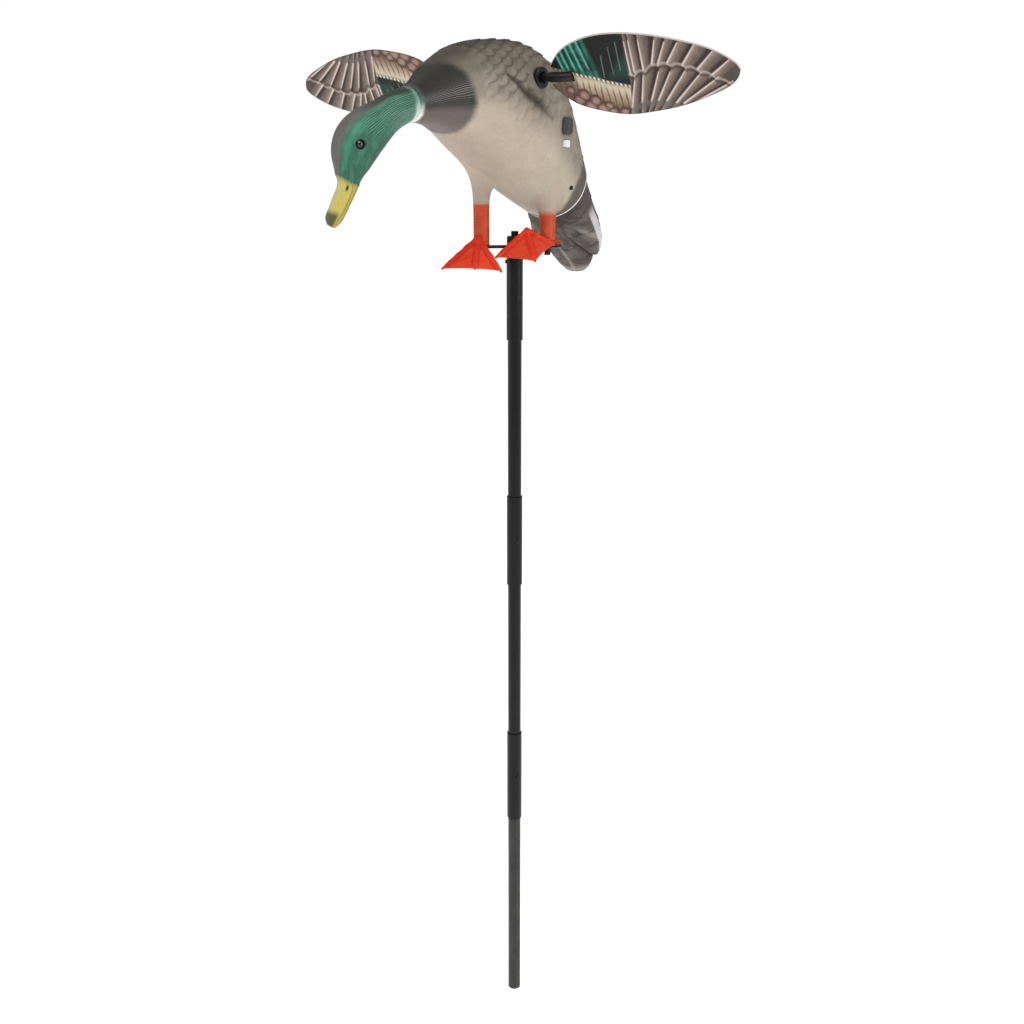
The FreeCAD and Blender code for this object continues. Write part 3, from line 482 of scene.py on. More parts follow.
def rounded_gap(along, up, hole):
    """Distance outside the rounded hole, negative inside."""
    length, height, corner, rise = hole
    x = np.abs(along) - (length / 2 - corner)
    y = np.abs(up - rise) - (height / 2 - corner)
    return np.hypot(np.maximum(x, 0), np.maximum(y, 0)) + np.minimum(np.maximum(x, y), 0) - corner


def hole_gap(points, hole):
    along, up, out = panel_place(points)
    return np.where(out > -PANEL_DEPTH, rounded_gap(along, up, hole), NO_HOLE)


def breast_ripple(sigma, e):
    return np.sin(e * 1.9 + 1.6 * noise(sigma / 9, e / 7, 31))


def back_paint(sigma, e, feather_shading, mottle, fine, side):
    """Pale belly darkening to the back, with painted shade at the feather edges and a painted highlight on each
    feather, the rump and painted shade in the wing groove.
    """
    rear = (1 - smooth(sigma, 70, 150)) * (1 - smooth(e, -10, 30))
    paint = coats((180, 168, 153), ((168, 155, 141), smooth(-e, 40, 85)), ((173, 164, 149), rear),
                  ((136, 129, 118), smooth(e + 3.5 * mottle, -26, 6)),
                  ((111, 105, 94), smooth(e + 8 * mottle, 8, 38)),
                  ((82, 78, 70), smooth(e + 9 * mottle, 44, 80)),
                  ((62, 59, 53), smooth(e + 12 * mottle, 40, 75) * hill(sigma, 150, 60) * 0.55))
    paint = gained(paint, 1 + 0.05 * mottle + 0.025 * fine)
    back = smooth(e, -22, 10)
    patches = cloud(sigma / 11 + 30, e / 9 + 17 * side, 47)
    # painted shade along the raised edge of each feather
    paint = gained(paint, 1 - 0.36 * smooth(feather_shading + 0.25 * patches, 0.55, 1.0) * (0.45 + 0.55 * back))
    paint = gained(paint, 1 + 0.13 * patches * back * (1 - smooth(sigma, 262, 276)))
    # painted highlight across the middle of each feather
    paint = gained(paint, 1 + 0.2 * (hill(feather_shading, 0.3, 0.2) - 0.25) * back * smooth(feather_shading, 0.02, 0.1))
    rump_edge = 10 + 16 * smooth(e, -65, -15)
    rump = 1 - smooth(sigma + 1.6 * mottle, rump_edge - 5, rump_edge + 5)
    # painted shade along the wing groove, which is also sunk into the skin
    line = stroke(sigma, e, GROOVE, [2.4, 4.6, 4.4, 3.0, 1.4])
    return coats(paint, ((88, 83, 78), rump * 0.9),
                 ((66, 60, 53), line * (0.35 + 0.65 * smooth(sigma, 140, 185)) * 0.85))


def breast_paint(sigma, e, mottle, fine):
    ripple = (0.5 + 0.5 * breast_ripple(sigma, e)) ** 3
    combed = hill(e, 5, 14) * smooth(sigma, 280, 292)
    paint = coats((110, 101, 100), ((50, 49, 46), smooth(e + 2.5 * mottle, -34, -6)),
                  ((66, 63, 60), smooth(e + 3 * mottle, 50, 88)),
                  ((124, 112, 110), smooth(-e, 45, 85) * 0.7),
                  ((152, 150, 148), ripple * combed * 0.8))
    return gained(paint, 1 + 0.07 * mottle + 0.05 * fine)


def body_paint(sigma, e, feather_shading, points):
    side = np.where(points[..., 0] >= 0, 1.0, 7.0)
    mottle = cloud(sigma / 16, e / 12 + 40 * side, 11)
    fine = noise(sigma / 2.1, e / 1.6 + 90 * side, 23)
    bound = np.interp(e, [-90, -15, 5, 30, 50, 93], [277, 279, 285, 290, 294, 303]) + 1.3 * mottle + 0.7 * fine
    paint = mix(back_paint(sigma, e, feather_shading, mottle, fine, side), breast_paint(sigma, e, mottle, fine),
                smooth(sigma, bound - 6, bound + 6))
    ring = smooth(sigma + 1.0 * mottle, BODY_LENGTH - 8, BODY_LENGTH - 3)
    ring_paint = coats((96, 128, 120), ((214, 218, 212), smooth(-e, -15, 45)))
    paint = mix(paint, ring_paint, ring * (1 - 0.75 * smooth(e, -8, 28)))
    halo = 1 - smooth(hole_gap(points, BUTTON_HOLE), 0.4, 4.5)
    return coats(paint, ((96, 91, 85), halo * 0.55), ((236, 233, 229), 1 - smooth(sigma, 1.2, 2.4)))


def body_grid():
    """Skin of the shell with its feathers, groove and seam, and the paint on it."""
    marks = np.concatenate([np.linspace(0, 4, 9), np.linspace(5, BODY_LENGTH, 344)])
    points = section_grid(BODY_CURVE, marks, BODY_ANGLES, BODY_SQUARE)
    sigma, turn, e = section_field(marks, BODY_ANGLES)
    girth = e * 1.22 * np.interp(sigma, [0, 150, 250, 350], [0.8, 1.05, 1.0, 0.4])
    flow = FLOW * cloud(sigma / 30, girth / 30 + 9 * np.sign(points[..., 0]), 15)
    feathers = feather_relief(sigma * math.cos(FALL) + girth * math.sin(FALL) + flow,
                              girth * math.cos(FALL) - sigma * math.sin(FALL) + 0.6 * flow, 14.0, 18.5)
    bush_gap = np.hypot(points[..., 1] - AXLE[0], points[..., 2] - AXLE[1])
    panel_gap = np.minimum(hole_gap(points, BUTTON_HOLE), hole_gap(points, PORT_HOLE))
    calm = smooth(bush_gap, 15, 26) * smooth(panel_gap, 3, 9)
    cover = (smooth(e + 4 * flow, -36, 0) * (1 - smooth(sigma, 256, 276))
             * (0.35 + 0.65 * smooth(sigma + e, 90, 190)) * smooth(sigma, 5, 18) * calm)
    relief = (2.3 + 0.8 * flow / FLOW) * (feathers - 0.25) * cover
    relief -= 1.5 * stroke(sigma, e, GROOVE, [1.6, 3.0, 2.8, 2.0, 1.0])
    relief += 0.35 * stroke(sigma, e, [(50, 9), (80, 9)], 1.2) * (points[..., 0] > 0)
    relief -= 0.7 * hill(sigma, BODY_LENGTH - 1, 2.0)
    relief += 0.22 * cloud(sigma / 18, e / 14, 71) * smooth(sigma, 5, 20) * smooth(panel_gap, 1, 6)
    relief += 0.4 * (hill(e, 5, 14) * smooth(sigma, 284, 296)) * breast_ripple(sigma, e)
    points = points + gained(grid_normals(points), relief)
    return points, body_paint(sigma, e, feathers * cover, points)


def open_panel(points):
    """Skin pulled to the edges of the two panel holes, and which of its points are outside them."""
    step = 0.05
    keep = np.ones(points.shape[:2], bool)
    for hole in (BUTTON_HOLE, PORT_HOLE):
        along, up, out = panel_place(points)
        gap = hole_gap(points, hole)
        slope_along = (rounded_gap(along + step, up, hole) - rounded_gap(along - step, up, hole)) / (2 * step)
        slope_up = (rounded_gap(along, up + step, hole) - rounded_gap(along, up - step, hole)) / (2 * step)
        shift = (-gap * slope_along)[..., None] * PANEL_ALONG + (-gap * slope_up)[..., None] * PANEL_UP
        edge = (gap < 0) & (gap > -1.6)
        points = np.where(edge[..., None], points + shift, points)
        keep &= gap >= -1e-6
    return points, keep


def hole_wall(skin, hole):
    """Wall of a panel hole, following the skin around it."""
    length, height, corner, rise = hole
    loop = []
    for sx, sy, start in ((1, 1, 0), (-1, 1, 90), (-1, -1, 180), (1, -1, 270)):
        for angle in np.radians(np.linspace(start, start + 90, 9)):
            loop.append((sx * (length / 2 - corner) + corner * math.cos(angle),
                         rise + sy * (height / 2 - corner) + corner * math.sin(angle)))
    along, up, out = panel_place(skin)
    close = (np.abs(along) < 22) & (np.abs(up - rise) < 18) & (out > -PANEL_DEPTH)
    along, up, out = along[close], up[close], out[close]
    depth = []
    for x, y in loop:
        weight = 1 / (0.04 + (along - x) ** 2 + (up - y) ** 2) ** 2
        depth.append((out * weight).sum() / weight.sum())
    loop, depth = np.array(loop), np.array(depth)
    flat = PANEL_CENTRE + loop[:, :1] * PANEL_ALONG + loop[:, 1:] * PANEL_UP
    return np.stack([flat + (depth - inward)[:, None] * PANEL_OUT for inward in (0.0, 1.3, SHELL_WALL)], 0)


def plain_skin(rows, columns):
    """Smooth body skin to cast rays at."""
    points = section_grid(BODY_CURVE, np.linspace(0, BODY_LENGTH, rows), section_angles(columns), BODY_SQUARE)
    return BVHTree.FromPolygons(points.reshape(-1, 3).tolist(), grid_faces(rows, columns, True).tolist())


PLAIN_SKIN = plain_skin(120, 160)


def belly_height(spot):
    hit = PLAIN_SKIN.ray_cast(Vector((*spot, 1100)), Vector((0, 0, 1)))[0]
    return hit.z if hit else None


def leg_line(centre, direction, reach, start_height, tube_rows, rows):
    """Radius and height down one side of a leg: straight, then curving out to meet the belly."""
    far = LEG_R + reach
    end = belly_height(centre + far * direction)
    while end is None or end > 1300:
        far -= 1.0
        end = belly_height(centre + far * direction)
    before = belly_height(centre + (far - 1.5) * direction) or end
    slope = np.array([1.5, end - before])
    slope /= np.linalg.norm(slope)
    start = np.array([LEG_R, start_height])
    last = np.array([far, end + 0.25])
    pull = 0.52 * np.linalg.norm(last - start)
    bezier = [start, start + np.array([0, pull]), last - slope * pull * 0.75, last]
    line = [(LEG_R, ANKLE_Z + (start_height - ANKLE_Z) * i / tube_rows) for i in range(tube_rows)]
    for i in range(rows - tube_rows):
        s = i / (rows - tube_rows - 1)
        weights = ((1 - s) ** 3, 3 * s * (1 - s) ** 2, 3 * s * s * (1 - s), s ** 3)
        line.append(sum(w * p for w, p in zip(weights, bezier)))
    return line


def add_leg(sheet, name, reach_ahead, reach_behind, reach_side, start_height, orange_top, blend):
    """Leg that comes up out of its foot and spreads smoothly into the belly."""
    x0, t0 = LEGS[name]
    columns = 96
    rows = 74
    grid = np.zeros((rows, columns, 3))
    for j in range(columns):
        angle = 2 * math.pi * j / columns
        direction = np.array([math.cos(angle), math.sin(angle)])
        reach = reach_side + (reach_ahead - reach_side) * max(direction[1], 0) ** 2 \
            + (reach_behind - reach_side) * max(-direction[1], 0) ** 2
        line = leg_line(np.array([x0, t0]), direction, reach, start_height, 26, rows)
        for i, (r, z) in enumerate(line):
            grid[i, j] = (x0 + r * direction[0], t0 + r * direction[1], z)
    angle = np.arange(columns) / columns * 2 * math.pi
    height = grid[..., 2]
    wobble = cloud(height / 9, np.broadcast_to(np.sin(angle) * 2, height.shape), 41)
    rings = 0.16 * np.sin(height * 1.9 + 2.0 * wobble) * (1 - smooth(height, orange_top - 14, orange_top - 6))
    outward = np.stack([np.cos(angle), np.sin(angle), 0 * angle], -1)
    grid = grid + outward[None] * rings[..., None]
    height = grid[..., 2]
    orange = coats((174, 74, 50), ((190, 88, 58), smooth(wobble, -0.5, 0.6)))
    pale = coats((170, 157, 143), ((174, 162, 147), smooth(height, 1215, 1240)))
    top_edge = orange_top + 0.8 * wobble
    paint = mix(orange, pale, smooth(height, top_edge - blend, top_edge + blend))
    sheet.add_grid(grid, paint, closed=True, flip=True)
    bottom = np.stack([grid[0], grid[0] + (np.array([x0, t0, ANKLE_Z]) - grid[0]) * 0.75], 0)
    sheet.add_grid(bottom, colour(170, 80, 58), closed=True)


def build_body():
    points, paint = body_grid()
    points, keep = open_panel(points)
    body = Sheet()
    body.add_grid(points, paint, closed=True, keep=keep)
    inner = section_grid(BODY_CURVE, np.linspace(0, 34, 12), BODY_ANGLES, BODY_SQUARE, SHELL_WALL)
    body.add_grid(np.stack([points[0], inner[0]], 0), colour(232, 229, 224), closed=True, flip=True)
    body.add_grid(inner, colour(150, 142, 132), closed=True, flip=True)
    for hole in (BUTTON_HOLE, PORT_HOLE):
        body.add_grid(hole_wall(points.reshape(-1, 3), hole), colour(120, 112, 103), closed=True)
    add_leg(body, "right", 34, 12, 15, 1196, 1213.8, 0.9)
    add_leg(body, "left", 18, 14, 14, 1178, 1202, 5.0)
    body.build("body_skin", "decoy", "body_vinyl", ["body_shell"])


build_body()

# ---------------------------------------------------------------- head
NECK_T = 207.8
HEAD_TURN = math.radians(28)
BEND_LENGTH = 30.0
EYE_REACH = 68.7
EYE_Z = 1285.0
EYE_SIDE = 14  # the sockets are only cut this far out from the middle of the head
SOCKET_R = 6.6
BILL = 127.5
HEAD_ROWS = [
    ((-1.5, 1311), (1.5, 1351), 21),
    ((17, 1301), (25, 1344), 20),
    ((32, 1284), (47, 1333), 21),
    ((44, 1269), (68, 1323), 22.5),
    ((53, 1257), (87, 1306), 23),
    ((61, 1248), (96, 1280), 21),
    ((65, 1241), (93, 1257), 15.5),
    ((68, 1234), (90.5, 1243.5), 12),
    ((74, 1222.5), (95, 1231), 10.8),
    ((81.5, 1209), (101.5, 1216.5), 10.8),
    ((89, 1197.5), (106, 1204), 9),
    ((96, 1192), (104.5, 1196.5), 5),
]
HEAD_LENGTH, HEAD_CURVE = section_curve(HEAD_ROWS)
MOUTH = [(131, -12), (140, -22), (152, -27), (166, -24), (180, -18)]


def turned(points):
    """Head points (side, reach, height) set on the neck, which bends to the duck's right."""
    side, reach, height = points[..., 0], points[..., 1], points[..., 2]
    bend = np.clip(reach, 0, BEND_LENGTH)
    angle = HEAD_TURN * bend / BEND_LENGTH
    radius = BEND_LENGTH / HEAD_TURN
    straight = reach - bend
    aside = radius * (1 - np.cos(angle)) + straight * np.sin(angle)
    ahead = radius * np.sin(angle) + straight * np.cos(angle)
    return np.stack([-aside + side * np.cos(angle), NECK_T + ahead + side * np.sin(angle), height], -1)


def add_eye_sockets(points):
    """Sinks a socket for each eye into the head, with a lid round it."""
    gap = np.hypot(points[..., 1] - EYE_REACH, points[..., 2] - EYE_Z)
    side = np.abs(points[..., 0])
    beside = side > EYE_SIDE
    sunk = np.minimum(side, 19.1 + 6.0 * smooth(gap, 4.25, SOCKET_R))
    points[..., 0] = np.sign(points[..., 0]) * np.where(beside & (gap < SOCKET_R), sunk, side)
    points[..., 0] += np.sign(points[..., 0]) * 0.55 * (hill(gap, 7.2, 1.3) * beside)
    return hill(gap, 4.8, 1.0) * beside


def bill_paint(s, e, mottle, fine, mouth, nostril, bill_edge):
    yellow = coats((182, 173, 98), ((182, 177, 124), smooth(e, 30, 75)), ((172, 157, 72), smooth(-e, 5, 32)))
    return coats(gained(yellow, 1 + 0.04 * mottle + 0.02 * fine),
                 # painted shade under the lower edge of the bill
                 ((104, 100, 74), smooth(-e, 36, 60) * 0.85),
                 ((78, 74, 58), smooth(s + 1.5 * mottle, 164, 173) * smooth(e, -20, 12) * 0.9),
                 ((120, 108, 58), mouth * 0.5),
                 ((36, 30, 20), np.minimum(nostril * 1.5, 1)),
                 ((150, 146, 84), hill(s, bill_edge + 1.5, 2.5) * 0.5))


def head_paint(s, e, mottle, fine, combed, strands, eye_line):
    """Green head with a grey crown, pale combed neck and the start of the white ring."""
    green = coats((52, 98, 80), ((72, 122, 104), smooth(mottle + 0.5 * strands * combed, -0.6, 0.7)),
                  ((44, 82, 68), smooth(-e, 22, 60) * 0.5))
    green = gained(green, 1 + 0.2 * strands * combed + 0.04 * fine)
    crown_edge = np.interp(s, [0, 40, 76, 93, 111, 130], [46, 50, 47, 42, 43, 60]) + 3 * mottle \
        + 2 * strands * combed
    ridge = hill(e, crown_edge - 15, 9) * smooth(s, 50, 80) * (1 - smooth(s, 118, 128))
    pale_strands = combed * smooth(strands, 0.35, 1.0) * (1 - smooth(s, 30, 75))
    throat = (1 - smooth(s, 12, 48)) * smooth(-e, -12, 25)
    paint = coats(green, ((138, 168, 158), pale_strands * 0.5), ((112, 146, 132), throat * 0.55),
                  ((74, 146, 118), ridge * 0.5))
    nape = gained(coats((58, 60, 57), ((102, 98, 97), smooth(s, 30, 78))), 1 + 0.25 * strands * combed)
    paint = mix(paint, nape, smooth(e, crown_edge - 8, crown_edge + 8) * 0.92)
    ring = (1 - smooth(s + 1.2 * strands, 1.5, 7.5)) * (0.2 + 0.7 * smooth(-e, -30, 40))
    return coats(paint, ((206, 214, 208), ring), ((44, 62, 54), eye_line * 0.8))


def head_grid():
    """Skin of the head and bill, and the paint on it."""
    round_start = HEAD_LENGTH - 4
    marks = np.concatenate([np.linspace(0, round_start, 250), round_start + 4 * np.linspace(0.1, 1, 10)])
    angles = section_angles(260)
    points = section_grid(HEAD_CURVE, marks, angles, 2.0)
    s, turn, e = section_field(marks, angles)
    bill_edge = BILL + 1.0 + 1.5 * hill(e, 0, 30)
    combed = smooth(s, 2, 12) * (1 - smooth(s, 62, 80)) * smooth(e, -52, -34) * (1 - smooth(e, 34, 48))
    strands = np.sin(e * 1.2 + 0.12 * s + 1.9 * noise(s / 10, e / 8, 61))
    mouth = stroke(s, e, MOUTH, [1.6, 2.6, 2.8, 3.0, 3.4])
    nostril = hill(s, 137, 3.0) * hill(e, 13, 6.5)
    relief = 1.6 * hill(s, 82, 22) * hill(e, -22, 26)
    relief += 0.9 * hill(s, 96, 9) * hill(e, 44, 10)
    relief -= 0.8 * hill(s, 118, 6) * hill(e, 20, 30)
    relief += 0.7 * hill(s, bill_edge - 2.5, 2.6)
    relief += 0.5 * combed * strands
    relief += 0.2 * cloud(s / 7, e / 9, 62) * (1 - smooth(s, 118, 128))
    relief -= 0.8 * mouth
    relief -= 1.2 * nostril
    relief += 0.4 * hill(s, 137, 6.5) * hill(e, 13, 14) - 0.25 * hill(s, 150, 12) * hill(e, 45, 16)
    relief += 0.45 * (smooth(s, HEAD_LENGTH - 13, HEAD_LENGTH - 8) * smooth(e, 52, 66))
    relief -= 0.7 * hill(s, 3.0, 1.5)
    points = points + gained(grid_normals(points), relief)
    eye_line = add_eye_sockets(points)
    side = np.where(points[..., 0] >= 0, 1.0, 9.0)
    mottle = cloud(s / 11, e / 10 + 50 * side, 65)
    fine = noise(s / 1.7, e / 1.9 + 70 * side, 67)
    paint = mix(head_paint(s, e, mottle, fine, combed, strands, eye_line),
                bill_paint(s, e, mottle, fine, mouth, nostril, bill_edge),
                smooth(s + 0.9 * mottle, bill_edge - 3.0, bill_edge + 2.5))
    return points, paint


def build_head():
    points, paint = head_grid()
    head = Sheet()
    head.add_grid(turned(points), paint, closed=True)
    bill_tip = dome(points[-1:], (0.0, 0.35, 0.7, 0.985), (0, 0.25, -0.9))
    head.add_grid(turned(bill_tip), colour(106, 100, 76), closed=True)
    head.add_grid(turned(dome(points[:1], (0.0, 0.115))), colour(90, 110, 100), closed=True, flip=True)
    head.build("head_skin", "decoy", "green_vinyl", ["head_and_bill"])


build_head()

# ---------------------------------------------------------------- tail
TAIL_FIT = SHELL_WALL + 0.35
TAIL_ROWS = [
    (rim_point(-RIM_HALF_HEIGHT + TAIL_FIT), rim_point(RIM_HALF_HEIGHT - TAIL_FIT), RIM_HALF_WIDTH - TAIL_FIT),
    ((-80, 1180), (-126, 1238), 51),
    ((-98, 1159), (-138, 1200), 55),
    ((-120, 1141), (-144, 1165), 51),
    ((-135, 1128), (-147, 1140), 36),
    ((-142, 1119), (-147, 1123), 16),
]
TAIL_LENGTH, TAIL_CURVE = section_curve(TAIL_ROWS)
TAIL_ANGLES = section_angles(380)
FAN_ROOT = 18  # how far before the tail's start its feathers would meet
FAN_SPACING = 5.6


def tail_tips(run, points):
    side = points[..., 0]
    return feather_relief(TAIL_LENGTH + 10 - run + 0.05 * np.abs(side), side, 27.0, 25.0)


def tail_grid():
    """Skin of the fanned tail with split feathers, and the paint on it."""
    marks = np.linspace(0, TAIL_LENGTH, 230)
    points = section_grid(TAIL_CURVE, marks, TAIL_ANGLES, 2.0)
    run, turn, _ = section_field(marks, TAIL_ANGLES)
    fan_angle = np.arctan2(points[..., 0], run + FAN_ROOT)
    fan_reach = np.hypot(points[..., 0], run + FAN_ROOT)
    wave = np.abs(np.cos(fan_angle * FAN_SPACING))
    outer = smooth(run, 18, 70)
    split = hill(wave, 0, 0.09) * outer
    quill = hill(1 - wave, 0.0, 0.012) * smooth(run, 26, 60)
    barbs = np.sin(fan_reach * 2.1 + 14 * wave) * outer
    relief = -1.3 * split - 0.9 * (1 - wave) * outer + 0.45 * quill + 0.06 * barbs
    relief += 0.2 * cloud(run / 12, fan_angle * 9, 81) * smooth(run, 3, 20)
    relief += 1.1 * (tail_tips(run, points) - 0.4) * smooth(run, 8, 25)
    points = points - gained(grid_normals(points), relief)
    tips = tail_tips(run, points)
    pulled = 1.012 - 0.07 * (1 - wave) ** 1.6 * smooth(fan_reach, 40, 110) * smooth(run, 20, 75)
    base = points[0].mean(0)
    points = base + gained(points - base, pulled)
    mottle = cloud(run / 10, fan_angle * 12, 83)
    paint = coats((84, 80, 78), ((112, 105, 100), smooth(mottle, -0.5, 0.6)),
                  ((74, 72, 70), (1 - smooth(run, 10, 40)) * 0.6))
    # painted shade in the sunk splits between the feathers
    paint = coats(gained(paint, 1 + 0.06 * barbs), ((150, 142, 136), quill * 0.7), ((46, 44, 43), split * 0.8))
    # painted shade behind the stepped tips of the feathers
    paint = gained(paint, 1 - 0.35 * smooth(tips, 0.62, 1.0) * smooth(run, 8, 25))
    rim = smooth(np.abs(np.cos(turn)), 0.955, 0.995) * (0.4 + 0.6 * wave)
    pale = rim * smooth(run, 8, 40) * (points[..., 0] > 0)
    paint = coats(paint, ((188, 186, 187), smooth(pale + 0.2 * mottle, 0.25, 0.9)),
                  ((176, 172, 170), smooth(run, TAIL_LENGTH - 14, TAIL_LENGTH - 4) * 0.5),
                  ((150, 143, 138), smooth(run, TAIL_LENGTH - 9, TAIL_LENGTH - 3) * 0.6))
    return points, paint


def build_tail():
    points, paint = tail_grid()
    tail = Sheet()
    tail.add_grid(points, paint, closed=True, flip=True)
    closing = dome(points[-1:], (0.0, 0.4, 0.8, 0.985), np.array([0, -0.33, -0.94]) * 0.9)
    tail.add_grid(closing, colour(120, 113, 108), closed=True, flip=True)
    # skirt that reaches forward into the shell
    rim = section_grid(TAIL_CURVE, np.zeros(1), TAIL_ANGLES, 2.0)
    forward = np.array([0, math.cos(RIM_SLOPE), math.sin(RIM_SLOPE)])
    skirt = np.concatenate([rim + forward * depth for depth in (12.0, 6.0, 0.0)], 0)
    for grid in (skirt, dome(skirt[:1], (0.07, 0.0))):
        tail.add_grid(grid, colour(70, 67, 64), closed=True, flip=True)
    tail.build("tail_fan", "decoy", "tail_vinyl", ["tail_cap"])


build_tail()

# ---------------------------------------------------------------- wings
# The print is laid out in millimetres out from the axle's middle and up across the blade.
WING_PITCH = math.radians(55)
WING_HALF = 0.8
WING_TIP = 342.5
NOTCH_END = 100
NOTCH_SHOULDER = 93
NOTCH_HALF = 6.8
CHORD = np.array([0, math.cos(WING_PITCH), math.sin(WING_PITCH)])
WING_OUT = np.array([0, math.sin(WING_PITCH), -math.cos(WING_PITCH)])
TOP_EDGE = [(93, 17), (111, 33), (135, 44), (162, 50), (197, 51), (237, 46), (285, 34), (322, 18.5),
            (334, 9.8), (340.3, 3.2), (WING_TIP, -3)]
LOW_EDGE = [(86, -12), (108, -34), (145, -48), (180, -54), (215, -52), (262, -44.5), (306, -31),
            (331.5, -18.8), (338.6, -11.6), (WING_TIP, -3)]
UPPER_SHAFTS = [((205, 39), (201, -2)), ((211, 40), (207, 1)), ((224, 40), (220, 3)), ((245, 38), (233, 9)),
                ((257, 35), (241, 9)), ((273, 33), (253, 9)), ((294, 30), (272, 6)), ((314, 20), (290, 0)),
                ((332, 9), (303, -10))]
LOWER_SHAFTS = [((207, -3), (189, -45)), ((219, 0), (205, -39)), ((239, -1), (218, -38)), ((254, -2), (228, -37)),
                ((276, 1), (239, -38)), ((294, -4), (251, -41)), ((314, -11), (261, -42)), ((330, -17), (270, -44))]
DIVISION = [(201, -4), (217, 0), (238, 8), (255, 7), (272, 5), (290, -2), (307, -10), (319, -17), (334, -22)]
SPECULUM = [(86, 16), (105, 10), (120, 6), (135, 1), (150, -2), (167, -8), (187, -13), (199, -16), (215, -19)]
LOBES = [(178, -51, 9), (160, -49, 9.5), (148, -44, 10.5), (158, -41, 6.5), (132, -40, 10), (141, -33, 8.5),
         (118, -31, 9), (127, -25, 9), (110, -18, 6.5)]
GLINTS = [([(168, 24), (164, -4)], 0.7), ([(193, 39), (189, 4)], 0.7), ([(181, 34), (178, 0)], 0.5)]


def outline(columns, points):
    """Height across, at each column, of the smooth edge through the points."""
    marks = np.cumsum([0.0] + [math.dist(before, after) for before, after in zip(points, points[1:])])
    line = natural_curve(marks, points)(np.linspace(0, marks[-1], 500))
    return np.interp(columns, line[:, 0], line[:, 1])


def division_at(a):
    """Where the upper row of long feathers ends: rounded tips along a line across the wing."""
    return np.interp(a, *zip(*DIVISION)) - 2.2 + 3.4 * np.abs(np.sin((a - 205) / 17.5 * math.pi))


def shaft_side(a, b, shaft):
    """Distance to the outer side of a shaft's line."""
    (ax, ay), (bx, by) = shaft
    return ((ay - by) * (a - ax) - (ax - bx) * (b - ay)) / math.hypot(bx - ax, by - ay)


def row_paint(a, b, row):
    """One row of long feathers, pale at each shaft and darkening to the next one."""
    gaps = [shaft_side(a, b, shaft) for shaft in row]
    share = np.full(a.shape, 0.55)
    for first, second in zip(gaps, gaps[1:]):
        share = np.where((first >= 0) & (second < 0), first / np.maximum(first - second, 1e-6), share)
    share = np.where(gaps[-1] >= 0, np.clip(gaps[-1] / 14, 0, 0.7), share)
    share = np.where(gaps[0] < 0, np.clip(1 + gaps[0] / 9, 0.3, 1), share)
    light = 1 - smooth(share, 0.0, 0.5)
    dark = smooth(share, 0.5, 0.82) * (1 - 0.6 * smooth(share, 0.9, 1.0))
    paint = coats((112, 97, 89), ((158, 142, 134), light * 0.8), ((50, 41, 38), dark * 0.95))
    paint = gained(paint, 1 - 0.22 * smooth(b, 14, 48))
    return gained(paint, 1 + 0.12 * noise(a / 1.1 + b / 5, b / 5, 95))


def outer_paint(a, b):
    """The two rows of long outer feathers."""
    paint = mix(row_paint(a, b, UPPER_SHAFTS), row_paint(a, b, LOWER_SHAFTS), (b < division_at(a)).astype(float))
    paint = coats(paint, ((98, 85, 79), smooth(a, 318, 338) * 0.5))
    for shaft in UPPER_SHAFTS + LOWER_SHAFTS:
        paint = coats(paint, ((212, 200, 194), stroke(a, b, shaft, [0.6, 1.25]) * 0.95))
    brink = b - division_at(a)
    band = stroke(a, b, [(191, -48), (210, -40), (238, -42), (258, -45)], [3.5, 4.5, 4.2, 2.0])
    return coats(paint, ((186, 171, 164), hill(brink, 1.2, 1.8) * 0.7),
                 ((56, 47, 43), hill(brink, -2.4, 2.2) * 0.7), ((112, 105, 102), band * 0.75))


def patch_paint(a, b, lean, mottle):
    """Bright patch with dark feather gaps."""
    teal = coats((22, 78, 68), ((46, 126, 108), smooth(mottle, -0.4, 0.7)))
    paint = mix(colour(20, 22, 21), teal, smooth(lean, 104, 112) * (1 - smooth(lean + 1.5 * mottle, 154, 161)))
    for x in (112, 120, 129, 138, 148):
        paint = coats(paint, ((120, 196, 178), hill(lean - x + 1.5, 0, 1.1) * smooth(b, 4, 12) * 0.75),
                      ((12, 30, 27), hill(lean - x - 2.6, 0, 1.2) * 0.85))
    glint = smooth(b, -12, 2) * (1 - smooth(b - 0.9 * (a - 176), -6, 10)) * smooth(a, 160, 168)
    paint = coats(paint, ((28, 86, 74), glint * 0.55))
    for path, width in GLINTS:
        paint = coats(paint, ((104, 140, 132), stroke(a, b, path, width) * 0.8))
    return paint


def inner_paint(a, b, lean, mottle, drop):
    """Pale inner feathers below the patch, hanging as fingers with brown between them."""
    finger = np.abs(np.sin((a - 0.08 * b + 1.6 * mottle) / 8.2 * math.pi))
    dash = smooth(np.sin(lean * 1.15), -0.2, 0.5) * hill(drop, 2.2, 1.5)
    paint = coats((196, 184, 164), ((160, 138, 118), smooth(drop, 8, 26)),
                  ((96, 76, 63), (1 - smooth(finger, 0.12, 0.62)) * smooth(drop, 5, 18) * 0.9),
                  ((92, 72, 60), smooth(drop + 5 * finger, 26, 42) * 0.85),
                  ((178, 152, 134), hill(finger, 1, 0.25) * smooth(drop, 28, 40) * 0.45),
                  ((46, 38, 33), hill(drop, 1.5, 3.2) * 0.85),
                  ((236, 226, 206), dash * 0.95),
                  ((112, 90, 80), (1 - smooth(a + 0.15 * b, 114, 126)) * 0.75))
    for x, y, size in LOBES:
        reach = np.hypot(a - x, (b - y) * 1.15) / size
        lobe = coats((160, 134, 123), ((96, 74, 66), smooth(reach + 0.04 * (b - y), 0.2, 0.95)))
        paint = mix(paint, lobe, 1 - smooth(reach, 0.9, 1.0))
        paint = coats(paint, ((66, 50, 44), hill(reach, 1, 0.12) * 0.42))
    return paint


